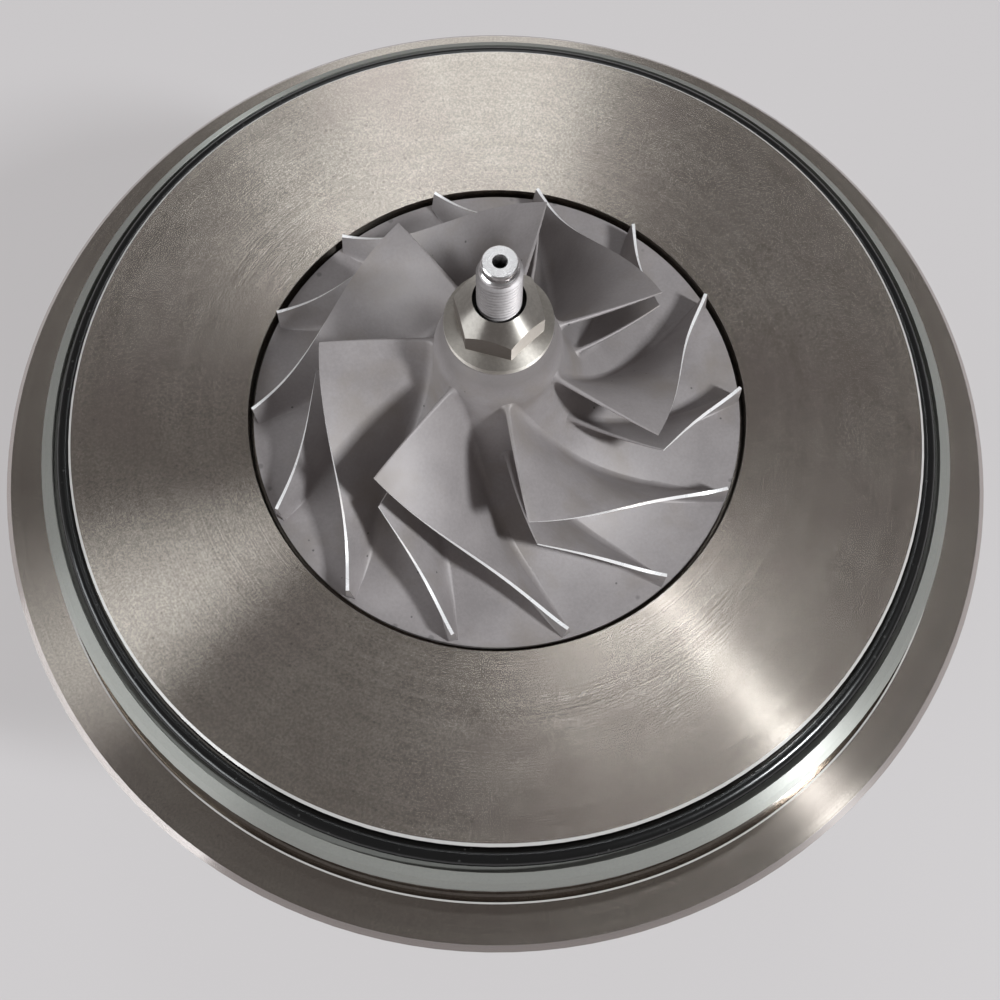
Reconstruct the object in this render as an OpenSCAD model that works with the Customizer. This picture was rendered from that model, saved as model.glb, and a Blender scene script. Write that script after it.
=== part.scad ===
// Turbocharger cartridge: centre housing and rotating assembly, with the compressor end up.
// The origin lies on the shaft axis, in the plane on which the compressor cover seats.
// +Z runs along the shaft towards the compressor inlet, and +Y towards the oil inlet.

/* [Compressor backplate] */
// Height of the front face above the cover seat
plate_rise = 17; // [15:0.5:22]
// Depth of the rear hub face below the cover seat
plate_drop = 4; // [3:0.5:8]
// Outer diameter of the clamp rim
rim_d = 212; // [206:1:226]
// Thickness of the clamp rim at its edge
rim_edge = 3.2; // [2:0.2:5]
// Chamfer round the front of the clamp rim
rim_chamfer = 1.3; // [0.5:0.1:2]
// Diameter at the root of the clamp taper
rim_root_d = 196; // [194:1:200]
// Angle of the clamp tapers
clamp_angle = 20; // [15:1:25]
// Depth of the plain neck behind the clamp taper
rim_neck = 1.6; // [1:0.2:4]
// Diameter of the cover register
register_d = 190; // [188:0.5:192]
// Width of the relief groove at the foot of the register
relief_w = 1.8; // [1:0.1:3]
// Depth of the relief groove at the foot of the register
relief_depth = 0.9; // [0.5:0.1:1.5]
// Diameter of the lip round the front face
lip_d = 175; // [172:0.5:177]
// Thickness of the lip over the O-ring seat
lip_t = 1.5; // [1:0.1:2]
// Chamfer on the lip
lip_chamfer = 0.5; // [0.2:0.1:0.9]
// Drop from the front face to the land outside the O-ring
land_drop = 4; // [3.5:0.1:5]
// Plate thickness between the front face and the dished rear
plate_wall = 10; // [8.5:0.5:12]
// Width of the sloped wall on the inside of the dish
dish_slope = 6; // [3:0.5:9]
// Fillet at the floor of the dish
dish_fillet = 4; // [1:0.5:5]
// Width of the ring behind the clamp rim
rim_ring_w = 7; // [5:0.5:9]
// Fillet at the foot of the wheel's recess
recess_fillet = 0.6; // [0.3:0.1:0.8]

/* [Cover O-ring] */
// Section of the O-ring
cover_ring_section = 3.6; // [3:0.1:4]
// How far the O-ring seat runs under the lip
seat_undercut = 0.3; // [0.2:0.1:0.8]
// Free width outside the O-ring in its seat
seat_free = 1.1; // [0.6:0.1:1.4]
// Depth of the O-ring seat below the outer land
seat_depth = 1.8; // [1:0.1:2.5]

/* [Compressor wheel] */
// Diameter of the wheel
wheel_d = 100; // [94:0.5:104]
// How far the disc's front edge lies below the plate's front face
wheel_set = 1.2; // [0.8:0.1:2]
// Radial gap between the wheel and its recess
wheel_gap = 1.05; // [0.5:0.05:1.5]
// Gap between the wheel's back and the recess floor
back_gap = 1; // [0.6:0.1:1.5]
// Thickness of the disc at its rim
disc_t = 1.4; // [1.2:0.1:2]
// Depth of the conical back
back_depth = 7; // [4:0.5:8]
// Diameter of the boss on the back
wheel_boss_d = 26; // [25.4:0.2:30]
// Height of the boss on the back
wheel_boss_h = 1.4; // [1:0.1:3]
// How far the blade tips stop short of the disc's rim
te_inset = 0.6; // [0.4:0.1:1.5]
// Width of the blades at the exducer
exducer_w = 5.6; // [4:0.1:7]
// Diameter over the blade tips at the inlet
inducer_d = 67; // [60:0.2:72]
// Height of the blade tips at the inlet above the disc
inducer_h = 27; // [24:0.2:30]
// Diameter of the hub where the blades start
hub_le_d = 24; // [22:0.2:27]
// Height above the disc at which the hub carries the blades' front edge
hub_le_h = 30.4; // [28:0.2:33]
// Diameter of the hub's nose
nose_d = 19.6; // [18.6:0.2:20.6]
// Height of the hub's nose above the disc
nose_h = 39; // [36:0.5:42]
// Number of full blades, with a splitter between each two
blade_count = 7; // [5:1:8]
// Direction of the first blade's front edge at its tip
blade_phase = 177.3; // [0:0.1:360]
// Angle that a blade wraps along its tip
tip_wrap = 58; // [45:0.2:65]
// Angle that a blade's front edge leads at its tip
tip_lead = 2.6; // [0:0.2:8]
// Share of a blade's turning that is spread evenly along it
even_share = 0.41; // [0.2:0.01:0.7]
// Share of the tip line at which the splitters start
splitter_start = 0.29; // [0.2:0.01:0.4]
// Blade thickness at the hub
blade_root_t = 2.2; // [1.6:0.1:2.8]
// Blade thickness at the tip
blade_tip_t = 0.9; // [0.7:0.1:1.4]
// Height of the fillet at the blades' roots
blade_fillet = 1.6; // [0.8:0.1:2]

/* [Nut and shaft] */
// Width across the flats of the rotor nut
nut_flats = 14.3; // [14:0.1:15.5]
// Diameter of the nut's flange
nut_flange_d = 19.7; // [19.4:0.1:20.2]
// Thickness of the nut's flange
nut_flange_t = 2; // [1.5:0.1:2.6]
// Height of the nut
nut_h = 9.9; // [8:0.1:12]
// Chamfer angle on top of the nut
nut_chamfer_angle = 46; // [35:1:50]
// Direction in which a corner of the nut points
nut_turn = 45.8; // [0:0.2:60]
// Thread diameter of the shaft end
thread_d = 8; // [7.8:0.1:8.6]
// Root diameter of that thread, to which the shaft end is drawn
thread_root_d = 6.7; // [6.5:0.1:6.9]
// Height of the shaft's tip above the hub's nose
tip_rise = 22.5; // [16:0.5:26]
// Diameter of the button on the shaft's tip
tip_d = 6.1; // [5.8:0.1:6.4]
// Height of the button on the shaft's tip
tip_h = 0.9; // [0.6:0.1:1.4]
// Length of the neck under the button
neck_h = 1; // [0.6:0.1:1.6]
// Diameter of the neck under the button
neck_d = 5; // [4.4:0.1:5.6]
// Diameter of the centre drilling in the tip
centre_d = 2.6; // [1.6:0.1:3]
// Diameter of the shaft through collar, slinger and wheel
stub_d = 9.2; // [8.8:0.1:10]
// Journal diameter of the shaft
journal_d = 16; // [14:0.5:17]
// Depth of the relief between the journals
journal_relief = 0.4; // [0.2:0.1:1]
// Diameter of the seal land at the turbine end
land_d = 26; // [25:0.5:28]

/* [Bearing housing] */
// Diameter of the flange bolted to the backplate
joint_d = 116; // [112:1:120]
// Thickness of that flange
joint_t = 10; // [8:0.5:12]
// Diameter of the counterbore for the oil seal plate
counterbore_d = 66; // [64:0.5:68]
// Depth of the circlip below the joint face
circlip_inset = 2; // [1.5:0.1:3]
// Depth of the thrust collar's recess
collar_recess = 6; // [5:0.5:8]
// Diameter of the thrust collar's recess
collar_recess_d = 40; // [36:0.5:42]
// Diameter of the housing's waist
waist_d = 74; // [72:0.5:80]
// Wall round the counterbore
counterbore_wall = 5; // [4:0.5:6]
// Distance between the middles of the two bushes
bush_span = 45; // [42:0.5:56]
// Bore for the bushes
bush_bore_d = 24; // [23:0.2:25]
// Depth of the oil trap beside the turbine bush
trap_h = 6; // [4:0.5:8]
// Diameter of the oil trap beside the turbine bush
trap_d = 36; // [32:0.5:40]
// Land between a snap ring groove and the next recess
snap_land = 2; // [1.5:0.1:4]
// Diameter of the turbine clamp rim
turbine_rim_d = 128; // [122:1:136]
// Thickness of the turbine clamp rim at its edge
turbine_rim_edge = 2.4; // [2:0.1:3.5]
// Chamfer round the turbine clamp rim
turbine_rim_chamfer = 0.8; // [0.4:0.1:1.2]
// Diameter of the turbine register
spigot_d = 112; // [110:0.5:114]
// Height of the turbine register
spigot_h = 5; // [4:0.5:7]
// Height of the seal neck beyond the register
neck_rise = 5; // [3:0.5:6]
// Diameter of the seal neck
neck_od = 43; // [40:0.5:46]
// Depth of the air space behind the heat shield
air_space = 4; // [2:0.5:4.5]

/* [Oil ports] */
// Distance from the shaft axis to the oil inlet face
inlet_y = 52; // [48:0.5:58]
// Diameter of the oil inlet drilling
inlet_d = 11; // [9:0.5:13]
// Distance between the oil inlet's two bolt holes
inlet_span = 44; // [40:0.5:50]
// Tapping diameter of the oil inlet's bolt holes
inlet_bolt_d = 6.8; // [6:0.1:7]
// Distance from the shaft axis to the oil drain face
drain_y = 56; // [52:0.5:62]
// Diameter of the oil drain port
drain_d = 26; // [22:0.5:28]
// Distance between the oil drain's two bolt holes
drain_span = 60; // [56:0.5:66]
// Tapping diameter of the oil drain's bolt holes
drain_bolt_d = 8.5; // [8:0.1:9]
// Depth of all the oil ports' bolt holes
port_bolt_depth = 15; // [12:0.5:18]
// Diameter of the oil galleries
gallery_d = 4; // [3:0.2:5]
// Wall round a bolt hole in an oil port's pad
pad_wall = 8.6; // [7:0.2:10]
// Metal left under the oil ports' bolt holes
pad_floor = 5; // [4:0.5:8]

/* [Inner pieces] */
// Thickness of the oil seal plate
seal_plate_t = 10; // [9:0.5:12]
// Thickness of the thrust bearing
thrust_t = 6; // [5:0.5:8]
// Thickness of the oil baffle
baffle_t = 1; // [0.8:0.1:1.5]
// Thickness of the circlip
circlip_t = 2; // [1.5:0.1:2.5]
// Width of the circlip's band
circlip_w = 4.6; // [4:0.1:5]
// Diameter of the slinger's sleeve
sleeve_d = 25; // [24:0.1:25.2]
// Diameter of the slinger's flange and of the thrust collar
slinger_d = 33; // [31:0.5:34]
// Thickness of the slinger's flange
slinger_t = 3.5; // [3:0.1:4]
// Thickness of the thrust collar's flange
collar_t = 4; // [3:0.1:4.5]
// Diameter of the thrust collar's hub
collar_hub_d = 20; // [19:0.2:21]
// Length of each bush
bush_l = 14; // [12:0.5:16]
// Thickness of the bushes' snap rings
snap_t = 1.2; // [1:0.1:1.6]
// Width of the piston rings
piston_ring_w = 1.6; // [1.4:0.1:2]
// Radial thickness of the piston rings
piston_ring_t = 1.9; // [1.6:0.1:2.2]
// Section of the two inner O-rings
inner_ring_section = 2.5; // [2.2:0.1:2.8]
// Thickness of the heat shield
shield_t = 1.2; // [0.8:0.1:1.5]
// Width of the heat shield's seat in the register
shield_seat_w = 4.6; // [4:0.1:5.5]
// Wall of the register outside the heat shield
spigot_wall = 3; // [2.5:0.1:4]
// Slope of the heat shield's wall, sideways over its depth
shield_slope = 2.8; // [1.5:0.1:4]

/* [Bolts] */
// Number of backplate bolts
bolt_count = 6; // [4:1:8]
// Diameter of the backplate bolts' circle
bolt_circle = 94; // [92:0.5:98]
// Thread diameter of the backplate bolts
bolt_d = 8; // [6:0.5:8]
// Width across the flats of the bolt heads
bolt_flats = 13; // [11:0.5:13]
// Height of the bolt heads
bolt_head_h = 5.3; // [4:0.1:6]
// How far the bolts reach into the backplate
bolt_reach = 8; // [6:0.5:9]
// Free depth of a bolt hole beyond the bolt's end
bolt_end_gap = 1; // [0.5:0.1:2]
// Clearance on the diameter of the bolts in the housing's flange
bolt_hole_gap = 1; // [0.5:0.1:1.5]

/* [Turbine wheel] */
// Diameter of the turbine wheel
turbine_d = 90; // [84:0.5:92]
// Width of the turbine blades at the inlet
turbine_inlet_w = 11; // [8:0.5:13]
// Diameter of the turbine blades at the outlet
turbine_exducer_d = 79; // [70:0.5:82]
// Length of the turbine wheel from its back to the outlet
turbine_l = 35; // [30:0.5:38]
// Diameter of the turbine hub at the outlet
turbine_hub_d = 27; // [24:0.5:30]
// Thickness of the turbine's back disc at its rim
turbine_disc_t = 2; // [1.6:0.1:3]
// Number of turbine blades
turbine_blades = 12; // [9:1:13]
// Angle that a turbine blade turns towards the outlet
turbine_turn = 46; // [35:1:55]
// Turbine blade thickness at the hub
turbine_root_t = 2.8; // [2.2:0.1:3.4]
// Turbine blade thickness at the tip
turbine_tip_t = 1.2; // [1:0.1:1.8]
// Height of the fillet at the turbine blades' roots
turbine_fillet = 1.6; // [0.8:0.1:2]
// Radius of the scallops in the turbine's back disc
scallop_r = 8.5; // [7:0.1:8.8]
// How far the scallops' centres lie outside the turbine's rim
scallop_out = 3; // [2:0.1:5]
// Width across the flats of the hexagon on the turbine's nose
nose_flats = 17; // [15:0.5:19]
// Height of that hexagon
nose_hex_h = 8; // [6:0.5:10]

/* [Clearances] */
// Radial running clearance between bush and shaft
bush_inner_gap = 0.04; // [0.02:0.01:0.08]
// Radial running clearance between bush and housing
bush_outer_gap = 0.06; // [0.03:0.01:0.1]
// Radial running clearance at the two shaft seals
seal_gap = 0.1; // [0.06:0.01:0.1]
// Running clearance on each face of the thrust bearing
thrust_gap = 0.05; // [0.03:0.01:0.1]
// End clearance of bushes, and of a piston ring in its groove
end_gap = 0.1; // [0.08:0.01:0.2]
// Clearance of seated pieces in their seats
seat_gap = 0.05; // [0.02:0.01:0.1]
// Radial clearance of the stub in the pieces it carries
stub_gap = 0.01; // [0.005:0.005:0.03]
// Gap between shield and turbine wheel, and between shield and neck
shield_gap = 1.2; // [0.8:0.1:2]

/* [Hidden] */
$fn = 96;
eps = 0.5;

// Levels along the shaft, from the backplate down to the turbine
z_face = plate_rise;
z_joint = -plate_drop;
z_land = z_face - land_drop;
z_seat_floor = z_land - seat_depth;
z_clip = z_joint - circlip_inset;
z_seal_plate = z_clip - circlip_t;
z_baffle = z_seal_plate - seal_plate_t;
z_thrust = z_baffle - baffle_t;
z_thrust_seat = z_thrust - thrust_t;
z_collar_recess = z_thrust_seat - collar_recess;
z_snap_first = z_collar_recess - snap_land;
z_bush_c = z_snap_first - snap_t - end_gap - bush_l / 2;
z_bush_t = z_bush_c - bush_span;
z_mid = (z_bush_c + z_bush_t) / 2;
z_snap_last = z_bush_t - bush_l / 2 - end_gap - snap_t;
z_trap = z_snap_last - snap_land;
z_trap_floor = z_trap - trap_h;
z_turbine_seat = z_trap_floor;
z_spigot = z_turbine_seat - spigot_h;
z_shield_seat = z_spigot + shield_t;
z_neck = z_spigot - neck_rise;
z_shield = z_neck - shield_gap;
z_turbine = z_shield - shield_t - shield_gap;
z_weld = z_neck - shield_gap;

// Levels of the rotor at the compressor end
z_rim = z_face - wheel_set;
z_wheel_back = z_rim - disc_t;
z_boss = z_wheel_back - back_depth - wheel_boss_h;
z_nose = z_rim + nose_h;
z_tip = z_nose + tip_rise;
z_collar_top = z_thrust_seat - thrust_gap;
z_shoulder = z_collar_top - collar_t;
z_slinger = z_thrust + thrust_gap;

// Radii that several pieces share
lip_r = lip_d / 2;
seat_in_r = lip_r - seat_undercut;
cover_ring_r = seat_in_r + seat_gap + cover_ring_section / 2;
seat_out_r = cover_ring_r + cover_ring_section / 2 + seat_free;
register_r = register_d / 2;
rim_r = rim_d / 2;
rim_root_r = rim_root_d / 2;
wheel_r = wheel_d / 2;
recess_r = wheel_r + wheel_gap;
wheel_boss_r = wheel_boss_d / 2;
plate_bore_r = wheel_boss_r + wheel_gap + back_gap;
joint_r = joint_d / 2;
counterbore_r = counterbore_d / 2;
seal_plate_r = counterbore_r - seat_gap;
circlip_r = counterbore_r + circlip_t * 0.7;
stub_r = stub_d / 2;
stub_bore_r = stub_r + stub_gap;
journal_r = journal_d / 2;
bush_bore_r = bush_bore_d / 2;
sleeve_r = sleeve_d / 2;
seal_bore_r = sleeve_r + seal_gap;
land_r = land_d / 2;
land_bore_r = land_r + seal_gap;
slinger_r = slinger_d / 2;
collar_hub_r = collar_hub_d / 2;
thrust_bore_r = collar_hub_r + end_gap * 5;
thread_r = thread_d / 2;
waist_r = waist_d / 2;
housing_front_r = counterbore_r + counterbore_wall;
spigot_r = spigot_d / 2;
turbine_rim_r = turbine_rim_d / 2;
shield_r = spigot_r - spigot_wall;
neck_r = neck_od / 2;
turbine_r = turbine_d / 2;
turbine_hub_r = turbine_hub_d / 2;

// Height of the inner O-ring grooves, and their middles
joint_ring_r = counterbore_r + counterbore_wall + inner_ring_section / 2;
inner_groove = inner_ring_section + 2 * seat_gap;
seal_ring_z = z_seal_plate - seal_plate_t * 0.4;

// Piston rings: the middle of each groove
ring_slot = piston_ring_w + 2 * end_gap;
compressor_ring_z = z_seal_plate - seal_plate_t * 0.3;
turbine_ring_z = (z_turbine_seat + z_neck) / 2;

// Dowels of the thrust bearing, and the oil drillings round it
dowel_d = 4;
dowel_r = counterbore_r - dowel_d * 1.5;
dowel_depth = 5;
dowel_tip = 1;
feed_r = counterbore_r - gallery_d * 1.6;
drill_break = 1;
drain_slot_r = 7;
slot_wall = 1;
drain_slot_y = counterbore_r - drain_slot_r - slot_wall;
flinger_room = 2;

// Shared shapes

// A solid of revolution from [radius, height] points
module turned(points) {
    rotate_extrude() polygon(points);
}

// A ring between two radii, standing on z
module ring(outer_r, inner_r, z, h) {
    translate([0, 0, z]) difference() {
        cylinder(r = outer_r, h = h);
        translate([0, 0, -eps]) cylinder(r = inner_r, h = h + 2 * eps);
    }
}

// A ring of square section with a gap towards -Y
module split_ring(outer_r, inner_r, z, h, gap_angle) {
    translate([0, 0, z])
        rotate([0, 0, gap_angle / 2 - 90])
            rotate_extrude(angle = 360 - gap_angle)
                translate([inner_r, 0]) square([outer_r - inner_r, h]);
}

// A round rubber ring
module o_ring(middle_r, z, section) {
    translate([0, 0, z]) rotate_extrude() translate([middle_r, 0]) circle(d = section);
}

// A round bar or drilling from one point to another
module bar(from, to, d) {
    v = to - from;
    l = norm(v);
    translate(from)
        rotate([0, acos(v[2] / l), atan2(v[1], v[0])])
            cylinder(d = d, h = l);
}

// Places its children round the axis
module around(count, r, start = 0) {
    for (i = [0 : count - 1]) rotate([0, 0, start + i * 360 / count]) translate([r, 0, 0]) children();
}

// A hexagon prism by its width across flats
module hexagon(flats, h) {
    cylinder(d = flats / cos(30), h = h, $fn = 6);
}

// The arc that rounds an outline's corner
function rounded(before, corner, after, r, steps = 3) =
    let (u = unit(before - corner))
    let (v = unit(after - corner))
    let (half = acos(u * v) / 2)
    let (middle = corner + unit(u + v) * r / sin(half))
    let (start = corner + u * r / tan(half) - middle)
    let (end = corner + v * r / tan(half) - middle)
    [for (i = [0 : steps]) middle + r * unit(mix(start, end, i / steps))];

// Shapes of the blades

function polar(r, a, z) = [r * cos(a), r * sin(a), z];
function unit(v) = v / norm(v);
function mix(a, b, t) = a + (b - a) * t;
function ease(s, power) = 1 - pow(1 - s, power);

// A quarter ellipse that starts along the axis and ends along the radius
function axial_to_radial(start, end, s) =
    [mix(start[0], end[0], 1 - cos(90 * s)), mix(end[1], start[1], 1 - sin(90 * s))];

// A quarter ellipse that starts along the radius and ends along the axis
function radial_to_axial(start, end, s) =
    [mix(end[0], start[0], 1 - sin(90 * s)), mix(start[1], end[1], 1 - cos(90 * s))];

// The direction across a blade, from the slopes of its middle surface
function across(midplane, s, t) =
    let (step = 0.01)
    let (along = midplane(min(s + step, 1), t) - midplane(max(s - step, 0), t))
    let (up = midplane(s, t + step) - midplane(s, t - step))
    unit(cross(along, up));

// A blade: its middle surface thickened to both sides, with a flared root sunk into the hub.
// midplane gives a point for a share s along the flow and a share t of the height.
module blade(midplane, root_t, tip_t, fillet, start, steps, rows) {
    root_sink = 0.9;
    flare = 0.5;
    nose_share = 0.55;
    nose_length = 0.1;
    function station(i) = mix(start, 1, i / steps);
    function tall(s) = norm(midplane(s, 1) - midplane(s, 0));
    function rise(s, j) = j == 0 ? -root_sink : mix(fillet, tall(s), (j - 1) / (rows - 1));
    function spread(s, t) = flare * max(0, fillet - t * tall(s)) * min(1, (1 - s) / nose_length);
    function half(s, t) =
        (mix(root_t, tip_t, max(t, 0)) / 2 + spread(s, t))
        * min(1, mix(nose_share, 1, (s - start) / nose_length));
    function corner(side, i, j) = side * (steps + 1) * (rows + 1) + i * (rows + 1) + j;
    function quad(a, b, c, d) = [[a, b, c], [a, c, d]];
    points = [
        for (side = [-1, 1], i = [0 : steps], j = [0 : rows])
            let (s = station(i))
            let (t = rise(s, j) / tall(s))
            midplane(s, t) + side * half(s, t) * across(midplane, s, t)
    ];
    faces = [
        for (i = [0 : steps - 1], j = [0 : rows - 1])
            each quad(corner(0, i, j), corner(0, i + 1, j), corner(0, i + 1, j + 1), corner(0, i, j + 1)),
        for (i = [0 : steps - 1], j = [0 : rows - 1])
            each quad(corner(1, i, j), corner(1, i, j + 1), corner(1, i + 1, j + 1), corner(1, i + 1, j)),
        for (i = [0 : steps - 1])
            each quad(corner(1, i, 0), corner(1, i + 1, 0), corner(0, i + 1, 0), corner(0, i, 0)),
        for (i = [0 : steps - 1])
            each quad(corner(0, i, rows), corner(0, i + 1, rows), corner(1, i + 1, rows), corner(1, i, rows)),
        for (j = [0 : rows - 1])
            each quad(corner(0, 0, j), corner(0, 0, j + 1), corner(1, 0, j + 1), corner(1, 0, j)),
        for (j = [0 : rows - 1])
            each quad(corner(1, steps, j), corner(1, steps, j + 1),
                corner(0, steps, j + 1), corner(0, steps, j))
    ];
    polyhedron(points, faces, convexity = 4);
}

// Housing side

// The clamp taper drops this far from the rim's edge to its root
rim_taper = (rim_r - rim_root_r) * tan(clamp_angle);
z_rim_taper = -rim_chamfer - rim_edge;
z_rim_back = z_rim_taper - rim_taper - rim_neck;
dish_r = rim_root_r - rim_ring_w;
z_dish = z_face - plate_wall;

module compressor_backplate() {
    undercut = 0.2;
    dish_lean = dish_slope + 1;
    dish_foot = [joint_r, z_joint];
    dish_in = [joint_r + dish_slope, z_dish];
    dish_out = [dish_r - dish_lean, z_dish];
    dish_mouth = [dish_r, z_rim_back];
    recess_foot = [recess_r, z_wheel_back - back_gap];
    recess_mouth = [recess_r, z_face];
    recess_bore = [plate_bore_r, z_wheel_back - back_gap - back_depth];
    land_fall = register_r - seat_out_r;
    relief_half = (relief_w + undercut) / 2;
    relief_mid = register_r - undercut + relief_half;
    relief = [for (a = [0 : 30 : 180]) [relief_mid + relief_half * cos(a), -relief_depth * sin(a)]];
    color([0.55, 0.52, 0.48]) difference() {
        turned(concat([
            [plate_bore_r, z_joint],
            dish_foot
        ], rounded(dish_foot, dish_in, dish_out, dish_fillet),
        rounded(dish_in, dish_out, dish_mouth, dish_fillet), [
            dish_mouth,
            [rim_root_r, z_rim_back],
            [rim_root_r, z_rim_back + rim_neck],
            [rim_r, z_rim_taper],
            [rim_r, -rim_chamfer],
            [rim_r - rim_chamfer, 0]
        ], relief, [
            [register_r, 0],
            [register_r, z_land - land_fall],
            [mix(seat_out_r, register_r, 0.6), z_land - land_fall * 0.4],
            [seat_out_r, z_land],
            [seat_out_r, z_seat_floor],
            [seat_in_r, z_seat_floor],
            [seat_in_r, z_face - lip_t],
            [lip_r, z_face - lip_t],
            [lip_r, z_face - lip_chamfer],
            [lip_r - lip_chamfer, z_face],
            recess_mouth
        ], rounded(recess_mouth, recess_foot, recess_bore, recess_fillet), [recess_bore]));
        around(bolt_count, bolt_circle / 2, 180 / bolt_count)
            translate([0, 0, z_joint - eps])
                cylinder(d = bolt_d + 2 * seat_gap, h = bolt_reach + bolt_end_gap + eps);
    }
}

module cover_o_ring() {
    color([0.05, 0.05, 0.05])
        o_ring(cover_ring_r, z_seat_floor + seat_gap + cover_ring_section / 2, cover_ring_section);
}

// The turned outside of the housing, from the joint flange to the turbine register
z_joint_back = z_joint - joint_t;
turbine_rim_taper = (turbine_rim_r - spigot_r) * tan(clamp_angle);
z_turbine_rim = z_turbine_seat + turbine_rim_chamfer + turbine_rim_edge;

module housing_outside() {
    root_fillet = 1.2;
    flare_step = 1;
    flare_steps = 10;
    flare_top = z_mid - inlet_ear_r;
    flare_foot = z_turbine_rim + turbine_rim_taper;
    flare = [
        for (i = [0 : flare_steps])
            axial_to_radial([waist_r, flare_top], [spigot_r - flare_step, flare_foot], i / flare_steps)
    ];
    turned(concat([
        [0, z_joint],
        [joint_r - root_fillet, z_joint],
        [joint_r, z_joint - root_fillet],
        [joint_r, z_joint_back + root_fillet],
        [joint_r - root_fillet, z_joint_back],
        [housing_front_r + root_fillet, z_joint_back],
        [housing_front_r, z_joint_back - root_fillet],
        [housing_front_r, z_thrust_seat],
        [waist_r, z_collar_recess]
    ], flare, [
        [spigot_r, flare_foot],
        [turbine_rim_r, z_turbine_rim],
        [turbine_rim_r, z_turbine_seat + turbine_rim_chamfer],
        [turbine_rim_r - turbine_rim_chamfer, z_turbine_seat],
        [spigot_r, z_turbine_seat],
        [spigot_r, z_spigot],
        [0, z_spigot]
    ]));
    translate([0, 0, z_neck]) cylinder(r = neck_r, h = neck_rise + air_space + shield_t);
}

// The outline of an oil port's pad: a round middle and an ear for each bolt
module pad_outline(middle_r, span, ear_r) {
    circle(r = middle_r);
    for (side = [-1, 1]) translate([side * span / 2, 0]) circle(r = ear_r);
    square([span, 2 * ear_r], center = true);
}

// Places a pad's outline at the middle of the housing, facing +Y or -Y
module facing(y, side) {
    translate([0, side * y, z_mid]) rotate([side * -90, 0, 0]) children();
}

inlet_ear_r = inlet_bolt_d / 2 + pad_wall;
drain_ear_r = drain_bolt_d / 2 + pad_wall;
drain_pad_r = drain_d / 2 + pad_wall;
ear_depth = port_bolt_depth + pad_floor;

// The cast tower that carries a pad's ears on the waist
module pad_tower(y, side, span, ear_r) {
    half_t = ear_r * 0.6;
    foot = waist_r * 0.9;
    head = span / 2 + ear_r * 0.7;
    head_y = side * (y - ear_depth + eps);
    translate([0, 0, z_mid - half_t]) linear_extrude(2 * half_t)
        polygon([[-foot, 0], [foot, 0], [head, head_y], [-head, head_y]]);
}

module oil_pads() {
    facing(0, 1) linear_extrude(inlet_y) circle(r = inlet_ear_r);
    facing(inlet_y - ear_depth, 1) linear_extrude(ear_depth)
        pad_outline(inlet_ear_r, inlet_span, inlet_ear_r);
    pad_tower(inlet_y, 1, inlet_span, inlet_ear_r);
    facing(0, -1) linear_extrude(drain_y) circle(r = drain_pad_r);
    facing(drain_y - ear_depth, -1) linear_extrude(ear_depth)
        pad_outline(drain_pad_r, drain_span, drain_ear_r);
    pad_tower(drain_y, -1, drain_span, drain_ear_r);
}

// Everything bored about the shaft axis, from the joint face down to the seal neck
module housing_bores() {
    translate([0, 0, z_thrust_seat]) cylinder(r = counterbore_r, h = z_joint - z_thrust_seat + eps);
    translate([0, 0, z_seal_plate - seat_gap])
        cylinder(r = circlip_r + seat_gap, h = circlip_t + 2 * seat_gap);
    translate([0, 0, z_collar_recess]) cylinder(d = collar_recess_d, h = collar_recess + eps);
    translate([0, 0, z_trap - eps]) cylinder(r = bush_bore_r, h = z_collar_recess - z_trap + 2 * eps);
    translate([0, 0, z_trap_floor]) cylinder(d = trap_d, h = trap_h);
    translate([0, 0, z_neck - eps]) cylinder(r = land_bore_r, h = z_trap_floor - z_neck + 2 * eps);
    for (z = snap_levels)
        translate([0, 0, z - seat_gap]) cylinder(r = snap_r + seat_gap, h = snap_t + 2 * seat_gap);
    ring(joint_ring_r + inner_groove / 2 + seat_gap, joint_ring_r - inner_groove / 2 - seat_gap,
        z_joint - inner_groove, inner_groove + eps);
}

// The seat of the heat shield and the air space behind it, round the seal neck
module shield_space() {
    ring(shield_r + seat_gap, neck_r, z_spigot - eps, shield_t + eps);
    ring(shield_r - shield_seat_w, neck_r, z_spigot - eps, shield_t + air_space + eps);
}

// The oil's way in: down from the inlet, then to both bushes and the thrust bearing
module oil_feed() {
    inlet_floor = feed_r;
    facing(inlet_floor, 1) cylinder(d = inlet_d, h = inlet_y - inlet_floor + eps);
    for (z = [z_bush_c, z_bush_t])
        bar([0, inlet_floor, z_mid], [0, bush_bore_r - drill_break, z], gallery_d);
    bar([0, feed_r, z_mid], [0, feed_r, z_thrust_seat + eps], gallery_d);
}

// The oil's way out: a chamber between the bushes, fed from both ends, over the drain port
module oil_way_out() {
    port_overlap = 2.4;
    chamber_r = waist_r / 2;
    chamber_h = bush_span - bush_l - 4 * snap_t - 4 * end_gap - 4 * snap_land;
    chamber_y = waist_r - chamber_r - pad_wall / 2;
    translate([0, -chamber_y, z_mid - chamber_h / 2]) cylinder(r = chamber_r, h = chamber_h);
    port_floor = chamber_y + chamber_r - port_overlap;
    facing(port_floor, -1) cylinder(d = drain_d, h = drain_y - port_floor + eps);
    translate([0, -drain_slot_y, z_mid])
        cylinder(r = drain_slot_r - slot_wall, h = z_thrust_seat - z_mid + eps);
    trap_y = trap_d / 2 - gallery_d;
    translate([0, -trap_y, z_trap - eps]) cylinder(d = gallery_d * 2, h = z_mid - z_trap + eps);
}

module port_bolt_holes() {
    for (side = [-1, 1]) {
        facing(inlet_y - port_bolt_depth, 1) translate([side * inlet_span / 2, 0])
            cylinder(d = inlet_bolt_d, h = port_bolt_depth + eps);
        facing(drain_y - port_bolt_depth, -1) translate([side * drain_span / 2, 0])
            cylinder(d = drain_bolt_d, h = port_bolt_depth + eps);
    }
}

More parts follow.
